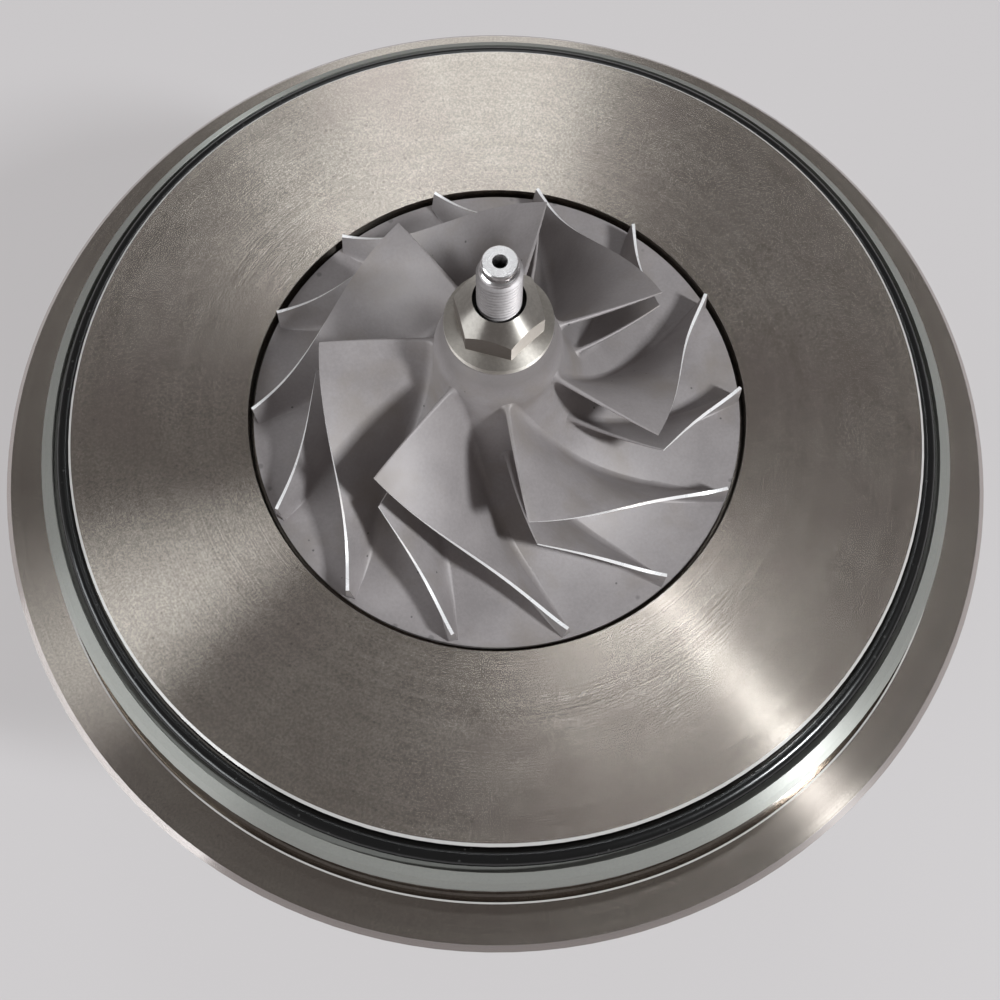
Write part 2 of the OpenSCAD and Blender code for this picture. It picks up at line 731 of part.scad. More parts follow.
module bearing_housing() {
    color([0.35, 0.34, 0.33]) difference() {
        union() {
            housing_outside();
            oil_pads();
        }
        housing_bores();
        shield_space();
        oil_feed();
        oil_way_out();
        port_bolt_holes();
        around(bolt_count, bolt_circle / 2, 180 / bolt_count)
            translate([0, 0, z_joint_back - eps]) cylinder(d = bolt_d + bolt_hole_gap, h = joint_t + 2 * eps);
        around(2, dowel_r)
            translate([0, 0, z_thrust_seat - dowel_depth])
                cylinder(d = dowel_d + 2 * seat_gap, h = dowel_depth + eps);
    }
}

module joint_o_ring() {
    color([0.07, 0.07, 0.07])
        o_ring(joint_ring_r, z_joint - seat_gap - inner_ring_section / 2, inner_ring_section);
}

module backplate_bolts() {
    shank_l = joint_t + bolt_reach;
    head_bevel = 0.94;
    color([0.3, 0.3, 0.32]) around(bolt_count, bolt_circle / 2, 180 / bolt_count) {
        translate([0, 0, z_joint_back]) cylinder(d = bolt_d, h = shank_l);
        intersection() {
            translate([0, 0, z_joint_back - bolt_head_h]) hexagon(bolt_flats, bolt_head_h);
            translate([0, 0, z_joint_back - bolt_head_h])
                cylinder(d1 = bolt_flats * head_bevel, d2 = bolt_flats * 2, h = bolt_head_h);
        }
    }
}

module oil_seal_plate() {
    under_r = slinger_r + flinger_room;
    under_h = slinger_t + flinger_room / 2;
    rim_bevel = 0.8;
    groove_floor = seal_plate_r - inner_ring_section - seat_gap;
    color([0.5, 0.5, 0.5]) difference() {
        turned([
            [seal_bore_r, z_baffle + under_h],
            [under_r, z_baffle + under_h],
            [under_r, z_baffle],
            [seal_plate_r - rim_bevel, z_baffle],
            [seal_plate_r, z_baffle + rim_bevel],
            [seal_plate_r, seal_ring_z - inner_groove / 2],
            [groove_floor, seal_ring_z - inner_groove / 2],
            [groove_floor, seal_ring_z + inner_groove / 2],
            [seal_plate_r, seal_ring_z + inner_groove / 2],
            [seal_plate_r, z_seal_plate],
            [seal_bore_r, z_seal_plate]
        ]);
        around(2, dowel_r)
            translate([0, 0, z_baffle - eps]) cylinder(d = dowel_d + 2 * seat_gap, h = dowel_tip + 2 * eps);
    }
}

module seal_plate_o_ring() {
    color([0.07, 0.07, 0.07])
        o_ring(seal_plate_r - inner_ring_section / 2, seal_ring_z, inner_ring_section);
}

module seal_plate_circlip() {
    gap_angle = 36;
    lug_angle = gap_angle / 2 + 4;
    lug_r = circlip_w * 0.75;
    lug_at = circlip_r - circlip_w - 0.2;
    hole_r = 1.25;
    gap_edge = 2 * circlip_r * [sin(gap_angle / 2), -cos(gap_angle / 2)];
    color([0.25, 0.25, 0.27]) translate([0, 0, z_seal_plate]) linear_extrude(circlip_t) difference() {
        union() {
            difference() {
                circle(r = circlip_r);
                circle(r = circlip_r - circlip_w);
                polygon([[0, 0], gap_edge, [-gap_edge[0], gap_edge[1]]]);
            }
            for (side = [-1, 1]) rotate(side * lug_angle - 90) translate([lug_at, 0]) circle(r = lug_r);
        }
        for (side = [-1, 1]) rotate(side * lug_angle - 90) translate([lug_at, 0]) circle(r = hole_r);
    }
}

// The slot through which oil falls past the thrust bearing and the baffle
module drain_slot(z, h) {
    translate([0, -drain_slot_y, z]) cylinder(r = drain_slot_r, h = h);
    translate([-drain_slot_r, -counterbore_r - slot_wall, z])
        cube([2 * drain_slot_r, counterbore_r + slot_wall - drain_slot_y, h]);
}

module oil_baffle() {
    color([0.6, 0.6, 0.6]) difference() {
        ring(seal_plate_r, slinger_r + flinger_room, z_thrust, baffle_t);
        drain_slot(z_thrust - eps, baffle_t + 2 * eps);
        around(2, dowel_r) translate([0, 0, z_thrust - eps])
            cylinder(d = dowel_d + 2 * seat_gap, h = baffle_t + 2 * eps);
    }
}

module thrust_bearing() {
    pad_count = 6;
    pad_groove_w = 2;
    pad_groove_h = 0.6;
    pad_l = slinger_r - thrust_bore_r;
    z_thrust_mid = z_thrust_seat + thrust_t / 2;
    color([0.7, 0.52, 0.28]) difference() {
        ring(seal_plate_r, thrust_bore_r, z_thrust_seat, thrust_t);
        drain_slot(z_thrust_seat - eps, thrust_t + 2 * eps);
        around(2, dowel_r) translate([0, 0, z_thrust_seat - eps])
            cylinder(d = dowel_d + 2 * seat_gap, h = thrust_t + 2 * eps);
        for (z = [z_thrust_seat - eps, z_thrust - pad_groove_h])
            around(pad_count, thrust_bore_r + pad_l / 2 - eps / 2, 180 / pad_count) translate([0, 0, z])
                translate([-pad_l / 2 - eps / 2, -pad_groove_w / 2, 0])
                    cube([pad_l + eps, pad_groove_w, pad_groove_h + eps]);
        translate([0, feed_r, z_thrust_seat - eps]) cylinder(d = gallery_d, h = thrust_t / 2 + eps);
        bar([0, feed_r, z_thrust_mid], [0, thrust_bore_r - drill_break, z_thrust_mid], gallery_d / 2);
    }
}

module thrust_dowels() {
    color([0.6, 0.6, 0.62]) around(2, dowel_r)
        translate([0, 0, z_thrust_seat - dowel_depth + seat_gap])
            cylinder(d = dowel_d, h = dowel_depth + thrust_t + baffle_t + dowel_tip);
}

// Snap rings lie on both sides of each bush
snap_r = bush_bore_r + snap_t * 0.7;
snap_levels = [
    for (z = [z_bush_c, z_bush_t], side = [-1, 1])
        z + side * (bush_l / 2 + end_gap + snap_t / 2) - snap_t / 2
];

module bush_snap_rings() {
    snap_w = 2.2;
    snap_open = 40;
    color([0.4, 0.4, 0.42])
        for (z = snap_levels) split_ring(snap_r, snap_r - snap_w, z, snap_t, snap_open);
}

// A piston ring, sprung out against the bore that holds it
module piston_ring(bore_r, middle_z) {
    ring_open = 3;
    outer_r = bore_r - stub_gap;
    split_ring(outer_r, outer_r - piston_ring_t, middle_z - piston_ring_w / 2, piston_ring_w, ring_open);
}

module compressor_piston_ring() {
    color([0.3, 0.3, 0.3]) piston_ring(seal_bore_r, compressor_ring_z);
}

module turbine_piston_ring() {
    color([0.3, 0.3, 0.3]) piston_ring(land_bore_r, turbine_ring_z);
}

module heat_shield() {
    hole_r = land_r + shield_gap;
    wall_top_r = shield_r - shield_seat_w;
    wall_foot_r = wall_top_r - shield_slope;
    color([0.5, 0.45, 0.38]) turned([
        [shield_r, z_shield_seat],
        [wall_top_r, z_shield_seat],
        [wall_foot_r, z_shield],
        [hole_r, z_shield],
        [hole_r, z_shield - shield_t],
        [wall_foot_r + shield_t, z_shield - shield_t],
        [wall_top_r + shield_t, z_spigot],
        [shield_r, z_spigot]
    ]);
}

// Floating bushes

module bush(z) {
    hole_count = 6;
    hole_d = 3;
    bevel = 0.6;
    inner_r = journal_r + bush_inner_gap;
    outer_r = bush_bore_r - bush_outer_gap;
    difference() {
        turned([
            [inner_r, z - bush_l / 2],
            [outer_r - bevel, z - bush_l / 2],
            [outer_r, z - bush_l / 2 + bevel],
            [outer_r, z + bush_l / 2 - bevel],
            [outer_r - bevel, z + bush_l / 2],
            [inner_r, z + bush_l / 2]
        ]);
        for (i = [0 : hole_count - 1])
            rotate([0, 0, i * 360 / hole_count]) translate([0, 0, z]) rotate([0, 90, 0])
                cylinder(d = hole_d, h = outer_r + eps);
    }
}

module compressor_bush() {
    color([0.75, 0.6, 0.32]) bush(z_bush_c);
}

module turbine_bush() {
    color([0.75, 0.6, 0.32]) bush(z_bush_t);
}

// Rotor

z_land_top = z_trap_floor + trap_h / 3;
thread_start = 2;
z_thread = z_nose - thread_start;

module shaft() {
    land_taper = 1.5;
    groove_r = land_bore_r - piston_ring_t - end_gap * 5;
    relief_top = z_bush_c - bush_l / 2 - snap_t - snap_land;
    relief_foot = z_bush_t + bush_l / 2 + snap_t + snap_land;
    thread_bevel = 0.6;
    z_button = z_tip - tip_h;
    z_thread_end = z_button - neck_h;
    root_r = thread_root_d / 2;
    centre_depth = 2.5;
    color([0.7, 0.7, 0.7]) difference() {
        turned([
            [0, z_weld],
            [land_r, z_weld],
            [land_r, turbine_ring_z - ring_slot / 2],
            [groove_r, turbine_ring_z - ring_slot / 2],
            [groove_r, turbine_ring_z + ring_slot / 2],
            [land_r, turbine_ring_z + ring_slot / 2],
            [land_r, z_land_top - land_taper],
            [land_r - land_taper, z_land_top],
            [journal_r, z_land_top],
            [journal_r, relief_foot - journal_relief],
            [journal_r - journal_relief, relief_foot],
            [journal_r - journal_relief, relief_top],
            [journal_r, relief_top + journal_relief],
            [journal_r, z_shoulder],
            [stub_r, z_shoulder],
            [stub_r, z_thread - thread_bevel],
            [root_r, z_thread],
            [root_r, z_thread_end - thread_bevel / 2],
            [root_r - thread_bevel / 2, z_thread_end],
            [neck_d / 2, z_thread_end],
            [neck_d / 2, z_button],
            [tip_d / 2, z_button],
            [tip_d / 2, z_tip - thread_bevel / 3],
            [tip_d / 2 - thread_bevel / 3, z_tip],
            [0, z_tip]
        ]);
        translate([0, 0, z_tip - centre_depth])
            cylinder(d1 = centre_d * 0.3, d2 = centre_d, h = centre_depth + 0.01);
    }
}

// A turbine blade's middle surface: radial at the inlet, bent towards the outlet
z_turbine_front = z_turbine - turbine_disc_t;
z_turbine_out = z_turbine - turbine_l;
turbine_tip_inset = 0.4;
turbine_bend = 2.2;
turbine_hub_turn = 0.75;

function turbine_midplane(s, t) =
    let (tip_r = turbine_r - turbine_tip_inset)
    let (hub = radial_to_axial([tip_r, z_turbine_front], [turbine_hub_r, z_turbine_out], s))
    let (shroud = radial_to_axial([tip_r, z_turbine_front - turbine_inlet_w],
        [turbine_exducer_d / 2, z_turbine_out], s))
    let (m = mix(hub, shroud, t))
    polar(m[0], turbine_turn * pow(s, turbine_bend) * mix(turbine_hub_turn, 1, t), m[1]);

module turbine_wheel() {
    hub_steps = 9;
    nose_h = 4;
    hub_curve = [
        for (i = [0 : hub_steps])
            radial_to_axial([turbine_r, z_turbine_front], [turbine_hub_r, z_turbine_out], i / hub_steps)
    ];
    color([0.42, 0.38, 0.34]) {
        difference() {
            turned(concat(
                [[0, z_weld], [land_r, z_weld], [land_r, z_turbine], [turbine_r, z_turbine]],
                hub_curve,
                [[turbine_hub_r, z_turbine_out - nose_h / 2],
                    [nose_flats / 2, z_turbine_out - nose_h],
                    [0, z_turbine_out - nose_h]]
            ));
            around(turbine_blades, turbine_r + scallop_out, 180 / turbine_blades)
                translate([0, 0, z_turbine_out]) cylinder(r = scallop_r, h = turbine_l + eps);
        }
        translate([0, 0, z_turbine_out - nose_h - nose_hex_h]) hexagon(nose_flats, nose_hex_h + 1);
        for (i = [0 : turbine_blades - 1])
            rotate([0, 0, i * 360 / turbine_blades])
                blade(function(s, t) turbine_midplane(s, t), turbine_root_t, turbine_tip_t, turbine_fillet,
                    0, 9, 4);
    }
}

module thrust_collar() {
    color([0.6, 0.6, 0.62]) {
        ring(slinger_r, stub_bore_r, z_shoulder, collar_t);
        ring(collar_hub_r, stub_bore_r, z_collar_top, z_slinger - z_collar_top);
    }
}

module oil_slinger() {
    groove_r = seal_bore_r - piston_ring_t - end_gap * 5;
    bevel = 1;
    color([0.62, 0.62, 0.62]) turned([
        [stub_bore_r, z_slinger],
        [slinger_r, z_slinger],
        [slinger_r, z_slinger + slinger_t - bevel],
        [slinger_r - bevel, z_slinger + slinger_t],
        [sleeve_r, z_slinger + slinger_t],
        [sleeve_r, compressor_ring_z - ring_slot / 2],
        [groove_r, compressor_ring_z - ring_slot / 2],
        [groove_r, compressor_ring_z + ring_slot / 2],
        [sleeve_r, compressor_ring_z + ring_slot / 2],
        [sleeve_r, z_boss],
        [stub_bore_r, z_boss]
    ]);
}

// A compressor blade's middle surface, from its front edge to the wheel's rim
te_r = wheel_r - te_inset;
hub_le = [hub_le_d / 2, z_rim + hub_le_h];
tip_le = [inducer_d / 2, z_rim + inducer_h];
tip_ease = 2.9;
hub_ease = 1.9;

function compressor_midplane(s, t) =
    let (hub = axial_to_radial(hub_le, [te_r, z_rim], s))
    let (shroud = axial_to_radial(tip_le, [te_r, z_rim + exducer_w], s))
    let (m = mix(hub, shroud, t))
    let (tip_angle = blade_phase + tip_wrap * mix(ease(s, tip_ease), s, even_share))
    let (hub_angle = blade_phase - tip_lead + (tip_wrap + tip_lead) * mix(ease(s, hub_ease), s, even_share))
    polar(m[0], mix(hub_angle, tip_angle, t), m[1]);

module compressor_wheel() {
    hub_steps = 10;
    nose_bevel = 0.4;
    nose_r = nose_d / 2;
    pitch = 360 / blade_count;
    hub_curve = [for (i = [hub_steps : -1 : 0]) axial_to_radial(hub_le, [wheel_r, z_rim], i / hub_steps)];
    color([0.72, 0.71, 0.73]) {
        turned(concat(
            [[stub_bore_r, z_boss], [wheel_boss_r, z_boss], [wheel_boss_r, z_boss + wheel_boss_h],
                [wheel_r, z_wheel_back]],
            hub_curve,
            [[nose_r, z_nose - nose_bevel], [nose_r - nose_bevel, z_nose], [stub_bore_r, z_nose]]
        ));
        for (i = [0 : blade_count - 1]) {
            rotate([0, 0, i * pitch])
                blade(function(s, t) compressor_midplane(s, t), blade_root_t, blade_tip_t, blade_fillet,
                    0, 10, 4);
            rotate([0, 0, (i - 0.5) * pitch])
                blade(function(s, t) compressor_midplane(s, t), blade_root_t, blade_tip_t, blade_fillet,
                    splitter_start, 8, 4);
        }
    }
}

module rotor_nut() {
    flange_r = nut_flange_d / 2;
    edge_share = 0.7;
    collar_out = 0.5;
    cone_out = 1;
    mouth_out = 0.6;
    mouth_h = 1.5;
    flange_edge = nut_flange_t * edge_share;
    collar_r = nut_flats / 2 + collar_out;
    cone_r = nut_flats / 2 / cos(30) + cone_out;
    bore_r = thread_r + seat_gap;
    mouth_r = bore_r + mouth_out;
    cone_h = (cone_r - mouth_r) * tan(nut_chamfer_angle);
    color([0.78, 0.77, 0.75]) difference() {
        union() {
            translate([0, 0, z_nose]) cylinder(r = flange_r, h = flange_edge);
            translate([0, 0, z_nose + flange_edge])
                cylinder(r1 = flange_r, r2 = collar_r, h = nut_flange_t - flange_edge);
            intersection() {
                translate([0, 0, z_nose]) rotate([0, 0, nut_turn]) hexagon(nut_flats, nut_h);
                turned([
                    [0, z_nose], [cone_r, z_nose], [cone_r, z_nose + nut_h - cone_h],
                    [mouth_r, z_nose + nut_h], [0, z_nose + nut_h]
                ]);
            }
        }
        translate([0, 0, z_nose - eps]) cylinder(r = bore_r, h = nut_h + 2 * eps);
        translate([0, 0, z_nose + nut_h - mouth_h]) cylinder(r = mouth_r, h = mouth_h + eps);
    }
}

compressor_backplate();
cover_o_ring();
bearing_housing();
joint_o_ring();
backplate_bolts();
oil_seal_plate();
seal_plate_o_ring();
seal_plate_circlip();
oil_baffle();
thrust_bearing();
thrust_dowels();
bush_snap_rings();
compressor_piston_ring();
turbine_piston_ring();
heat_shield();
compressor_bush();
turbine_bush();
shaft();
turbine_wheel();
thrust_collar();
oil_slinger();
compressor_wheel();
rotor_nut();
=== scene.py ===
# A turbocharger cartridge, put together here as it is on the bench: the cast housing and its
# bushes, the turbine rotor, the thrust parts, the backplate, and last the compressor wheel and nut.
import math

import bpy
from mathutils import Matrix, Vector


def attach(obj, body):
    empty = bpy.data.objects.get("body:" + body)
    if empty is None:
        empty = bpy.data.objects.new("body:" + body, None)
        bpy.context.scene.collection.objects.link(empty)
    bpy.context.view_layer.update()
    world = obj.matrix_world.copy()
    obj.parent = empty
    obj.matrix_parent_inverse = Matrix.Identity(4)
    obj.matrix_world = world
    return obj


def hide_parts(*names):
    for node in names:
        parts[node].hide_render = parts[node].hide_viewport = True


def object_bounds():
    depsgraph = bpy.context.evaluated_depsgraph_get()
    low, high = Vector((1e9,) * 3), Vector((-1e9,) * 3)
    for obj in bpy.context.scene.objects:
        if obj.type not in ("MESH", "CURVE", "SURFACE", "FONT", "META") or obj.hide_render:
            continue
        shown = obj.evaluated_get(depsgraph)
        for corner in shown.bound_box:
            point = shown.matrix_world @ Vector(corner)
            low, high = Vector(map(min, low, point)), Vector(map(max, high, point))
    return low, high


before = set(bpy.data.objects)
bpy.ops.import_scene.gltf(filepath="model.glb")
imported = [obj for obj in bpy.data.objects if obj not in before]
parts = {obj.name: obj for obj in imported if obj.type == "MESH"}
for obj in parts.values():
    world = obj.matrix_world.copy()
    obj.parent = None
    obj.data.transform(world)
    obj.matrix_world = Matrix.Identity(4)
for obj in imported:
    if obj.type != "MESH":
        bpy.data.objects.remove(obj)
cad_low, cad_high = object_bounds()

# Bearing housing
# The middle of the cartridge: a grey iron sand casting that carries the two bushes and the oil ways.
# Its flanges, bores and oil pads are machined bright, and the skin between them stays as it was cast.
mm = 0.001
oil_pad_level = 51.5 * mm
front_flange_z, turbine_flange_z = -13.7 * mm, -94.8 * mm
square_on = 0.985  # a face counts as square to an axis from this share of its normal
cast_dark, cast_light = (0.050, 0.047, 0.044, 1), (0.115, 0.108, 0.100, 1)
cut_dark, cut_light = (0.30, 0.285, 0.265, 1), (0.46, 0.44, 0.415, 1)


def add(tree, kind, inputs=None, **settings):
    """A node with its settings; an input takes a plain value or the socket that feeds it."""
    made = tree.nodes.new(kind)
    for key, value in settings.items():
        setattr(made, key, value)
    for key, value in (inputs or {}).items():
        if isinstance(value, bpy.types.NodeSocket):
            tree.links.new(value, made.inputs[key])
        else:
            made.inputs[key].default_value = value
    return made


def wire(tree, sockets, **sources):
    """Feeds sockets, named with _ for a space, from other nodes."""
    for key, source in sources.items():
        tree.links.new(source, sockets[key.replace("_", " ")])


def calc(tree, operation, *terms):
    """A sum, product or other Math node."""
    return add(tree, "ShaderNodeMath", dict(enumerate(terms)), operation=operation).outputs[0]


def above(tree, value, limit):
    """A mask of where a value is past a limit."""
    return calc(tree, "GREATER_THAN", value, limit)


def below(tree, value, limit):
    """A mask of where a value is short of a limit."""
    return calc(tree, "LESS_THAN", value, limit)


def both(tree, first, second):
    """Where two masks overlap."""
    return calc(tree, "MULTIPLY", first, second)


def either(tree, first, second):
    """Where one mask or the other is."""
    return calc(tree, "MAXIMUM", first, second)


def part_of(tree, value, share):
    """A value or mask at a share of its strength."""
    return calc(tree, "MULTIPLY", value, share)


def tint(tree, share, low, high):
    """A colour between two others."""
    return add(tree, "ShaderNodeMix", {0: share, 6: low, 7: high}, data_type="RGBA").outputs[2]


def spread(tree, value, from_low, from_high, to_low, to_high):
    """A value moved from one range into another, and held inside it."""
    return add(tree, "ShaderNodeMapRange", {
        "Value": value, "From Min": from_low, "From Max": from_high,
        "To Min": to_low, "To Max": to_high}).outputs[0]


def mottle(tree, tone, dark, light):
    """A colour that goes from dark to light over the middle of a noise's range."""
    return tint(tree, spread(tree, tone, 0.35, 0.65, 0.0, 1.0), dark, light)


def here(tree, kind="Object"):
    """A point's place in metres, or with Normal the way that its surface faces."""
    return add(tree, "ShaderNodeTexCoord").outputs[kind]


def split(tree, vector):
    """The x, y and z of a vector."""
    return add(tree, "ShaderNodeSeparateXYZ", {0: vector}).outputs


def from_axis(tree, spot):
    """How far a point is from the shaft axis."""
    square_of_y = calc(tree, "MULTIPLY", spot[1], spot[1])
    return calc(tree, "SQRT", calc(tree, "MULTIPLY_ADD", spot[0], spot[0], square_of_y))


def noise(tree, place, scale, detail, roughness=0.5):
    """Soft random spots all over; scale is about how many go into a metre."""
    return add(tree, "ShaderNodeTexNoise", {
        "Vector": place, "Scale": scale, "Detail": detail, "Roughness": roughness}).outputs[0]


def streaks(tree, travel, scale, detail, roughness=0.5):
    """Noise that changes along one travel only."""
    return add(tree, "ShaderNodeTexNoise", {
        "W": travel, "Scale": scale, "Detail": detail, "Roughness": roughness},
        noise_dimensions="1D").outputs[0]


def effect(name, inputs, outputs):
    """An empty shader group with float inputs and outputs."""
    tree = bpy.data.node_groups.new(name, "ShaderNodeTree")
    for label, value in inputs.items():
        socket = tree.interface.new_socket(label, in_out="INPUT", socket_type="NodeSocketFloat")
        socket.default_value = value
    for label in outputs:
        tree.interface.new_socket(label, in_out="OUTPUT", socket_type="NodeSocketFloat")
    return tree, tree.nodes.new("NodeGroupInput").outputs, tree.nodes.new("NodeGroupOutput").inputs


def use(tree, name, **inputs):
    """A shader group placed in a material."""
    made = tree.nodes.new("ShaderNodeGroup")
    made.node_tree = bpy.data.node_groups[name]
    for key, value in inputs.items():
        made.inputs[key.replace("_", " ")].default_value = value
    return made.outputs


def finish(name, **shader):
    """A material whose Principled shader has these plain values, with its tree and shader sockets."""
    made = bpy.data.materials.new(name)
    made.use_nodes = True
    skin = made.node_tree.nodes["Principled BSDF"].inputs
    for key, value in shader.items():
        skin[key.replace("_", " ")].default_value = value
    return made, made.node_tree, skin


def bump(tree, skin, height, strength, depth):
    """Relief of a depth in millimetres."""
    made = add(tree, "ShaderNodeBump", {"Strength": strength, "Distance": depth * mm, "Height": height})
    wire(tree, skin, Normal=made.outputs[0])


def dress(part, material):
    """Gives a solid of the frame one material all over."""
    mesh = parts[part].data
    mesh.materials.clear()
    mesh.materials.append(material)
    mesh.polygons.foreach_set("material_index", [0] * len(mesh.polygons))


# Sand-cast skin: fine grain over slow waves
tree, given, put = effect("cast_skin", {"Grain": 1100.0}, ["Height", "Tone"])
place = here(tree)
grain = noise(tree, place, scale=given["Grain"], detail=3.0, roughness=0.6)
waves = noise(tree, place, scale=130.0, detail=2.0)
wire(tree, put, Height=calc(tree, "MULTIPLY_ADD", waves, 0.9, grain),
     Tone=calc(tree, "MULTIPLY_ADD", grain, 0.45, part_of(tree, waves, 0.55)))

# Marks of a lathe tool: rings about the shaft axis, on flat faces and, wider apart, on round walls
wall_share = 0.73  # how fast the marks go by on a round wall, against a flat face
tree, given, put = effect("turning_marks", {"Marks per mm": 3.0}, ["Height", "Band"])
spot = split(tree, here(tree))
travel = calc(tree, "MULTIPLY_ADD", spot[2], wall_share, from_axis(tree, spot))
travel_mm = part_of(tree, travel, 1 / mm)
in_marks = calc(tree, "MULTIPLY", travel_mm, given["Marks per mm"])
fine = streaks(tree, in_marks, scale=1.0, detail=2.0)
broad = streaks(tree, travel_mm, scale=0.35, detail=3.0, roughness=0.65)
wire(tree, put, Height=fine, Band=broad)

# Specks and pits: small dots, sparsely scattered
dot_core, dot_edge = 0.18, 0.30
tree, given, put = effect("specks", {"Size": 700.0, "Rarity": 0.86}, ["Mask"])
cell = add(tree, "ShaderNodeTexVoronoi", {"Vector": here(tree), "Scale": given["Size"]}).outputs
chance = add(tree, "ShaderNodeSeparateColor", {0: cell["Color"]}).outputs[0]
dot = spread(tree, cell["Distance"], dot_core, dot_edge, 1.0, 0.0)
wire(tree, put, Mask=both(tree, dot, above(tree, chance, given["Rarity"])))

housing_iron, tree, skin = finish("housing_iron", Metallic=0.85)
spot, facing = split(tree, here(tree)), split(tree, here(tree, "Normal"))
level = calc(tree, "ABSOLUTE", spot[1])
faces_pipe = above(tree, calc(tree, "ABSOLUTE", facing[1]), square_on)
on_pad = both(tree, faces_pipe, above(tree, level, oil_pad_level))
on_flat = above(tree, calc(tree, "ABSOLUTE", facing[2]), square_on)
on_flange = either(tree, below(tree, spot[2], turbine_flange_z), above(tree, spot[2], front_flange_z))
cut = either(tree, either(tree, on_pad, on_flat), on_flange)
cast = use(tree, "cast_skin", Grain=900.0)
marks = use(tree, "turning_marks", Marks_per_mm=2.5)
cast_colour = mottle(tree, cast["Tone"], cast_dark, cast_light)
cut_colour = tint(tree, marks["Band"], cut_dark, cut_light)
wire(tree, skin, Base_Color=tint(tree, cut, cast_colour, cut_colour),
     Roughness=spread(tree, cut, 0.0, 1.0, 0.62, 0.34))
uncut = calc(tree, "SUBTRACT", 1.0, cut)
bump(tree, skin, part_of(tree, cast["Height"], uncut), strength=0.75, depth=0.6)
dress("bearing_housing", housing_iron)

# Bushes and their snap rings
# Two full-floating bushes of leaded bronze, drilled for oil, that spin between shaft and housing.
# Four spring steel snap rings in the bore keep them from wandering along it. The thrust bearing
# is of the same bronze, and the circlip and the piston rings are of the same steel.


def gloss(tree, tone, low, high):
    """A roughness that follows a noise over most of its range."""
    return spread(tree, tone, 0.3, 0.7, low, high)


def turned_metal(name, marks_per_mm, dark, light, rough, relief=None, metallic=1.0):
    """A metal with the rings of a lathe tool; relief is the strength and depth of their bump."""
    made, tree, skin = finish(name, Metallic=metallic)
    marks = use(tree, "turning_marks", Marks_per_mm=marks_per_mm)
    wire(tree, skin, Base_Color=tint(tree, marks["Band"], dark, light),
         Roughness=gloss(tree, marks["Band"], *rough))
    if relief:
        bump(tree, skin, marks["Height"], *relief)
    return made


bronze = turned_metal("bronze", marks_per_mm=4.0, dark=(0.52, 0.33, 0.14, 1), light=(0.74, 0.52, 0.25, 1),
                      rough=(0.26, 0.40), relief=(0.25, 0.04))
for part in ("compressor_bush", "turbine_bush", "thrust_bearing"):
    dress(part, bronze)

spring_steel = turned_metal("spring_steel", marks_per_mm=5.0, dark=(0.11, 0.105, 0.11, 1),
                            light=(0.22, 0.21, 0.21, 1), rough=(0.34, 0.48))
for part in ("bush_snap_rings", "seal_plate_circlip", "compressor_piston_ring", "turbine_piston_ring"):
    dress(part, spring_steel)

# Heat shield
# A cup pressed from stainless sheet, nipped between the housing and the turbine housing.
# Exhaust heat has left it straw and brown in slow bands.
straw_pale, straw, heat_brown = (0.42, 0.36, 0.29, 1), (0.52, 0.43, 0.31, 1), (0.30, 0.24, 0.22, 1)
shield_steel, tree, skin = finish("shield_steel", Metallic=1.0)
cast = use(tree, "cast_skin", Grain=500.0)
marks = use(tree, "turning_marks", Marks_per_mm=1.2)
heated = mottle(tree, cast["Tone"], straw_pale, straw)
browned = spread(tree, marks["Band"], 0.35, 0.7, 0.0, 0.8)
wire(tree, skin, Base_Color=tint(tree, browned, heated, heat_brown),
     Roughness=gloss(tree, cast["Tone"], 0.30, 0.46))
bump(tree, skin, cast["Height"], strength=0.12, depth=0.3)
dress("heat_shield", shield_steel)

# Shaft
# Alloy steel, hardened and ground on the journals, drawn here to the root of its end thread.
# A button with a centre drilling finishes the threaded end.
drilling_r, drilling_lip_r = 0.5 * mm, 1.3 * mm
ground_dark, ground_light = (0.60, 0.58, 0.58, 1), (0.76, 0.74, 0.74, 1)
hole_shadow_black = (0.02, 0.02, 0.02, 1)
shaft_steel, tree, skin = finish("shaft_steel", Metallic=1.0)
marks = use(tree, "turning_marks", Marks_per_mm=6.0)
reach = from_axis(tree, split(tree, here(tree)))
# The centre drilling is painted nearly black out to its lip: painted shade for the inside of the hole.
shade_in_hole = spread(tree, reach, drilling_r, drilling_lip_r, 0.95, 0.0)
ground = tint(tree, marks["Band"], ground_dark, ground_light)
wire(tree, skin, Base_Color=tint(tree, shade_in_hole, ground, hole_shadow_black),
     Roughness=gloss(tree, marks["Band"], 0.20, 0.30))
bump(tree, skin, marks["Height"], strength=0.2, depth=0.03)
dress("shaft", shaft_steel)

# The rolled thread of the shaft's end: one ridge wound up from inside the nut to below the button
thread_pitch = 1.0
thread_root, thread_crest, thread_sunk = 3.30, 3.96, 0.15
thread_foot, thread_top = 62.0, 74.9
thread_steps, thread_run_out = 48, 0.8
flank_half, crest_half, crest_round = 0.49 * thread_pitch, 0.09 * thread_pitch, 0.02


def around(r, angle, z):
    """A point at a radius, an angle in radians and a height."""
    return r * math.cos(angle), r * math.sin(angle), z


def new_piece(name, points, faces, sharp=32.0):
    """A smooth-shaded mesh from points in millimetres, creased where faces meet sharply."""
    mesh = bpy.data.meshes.new(name)
    mesh.from_pydata([(x * mm, y * mm, z * mm) for x, y, z in points], [], faces)
    mesh.validate()
    mesh.shade_smooth()
    mesh.set_sharp_from_angle(angle=math.radians(sharp))
    piece = bpy.data.objects.new(name, mesh)
    bpy.context.scene.collection.objects.link(piece)
    return piece


def grained_metal(name, grain, dark, light, rough, relief=None):
    """A metal with a mottled, grained skin; relief is the strength and depth of its bump."""
    made, tree, skin = finish(name, Metallic=1.0)
    cast = use(tree, "cast_skin", Grain=grain)
    wire(tree, skin, Base_Color=mottle(tree, cast["Tone"], dark, light),
         Roughness=gloss(tree, cast["Tone"], *rough))
    if relief:
        bump(tree, skin, cast["Height"], *relief)
    return made


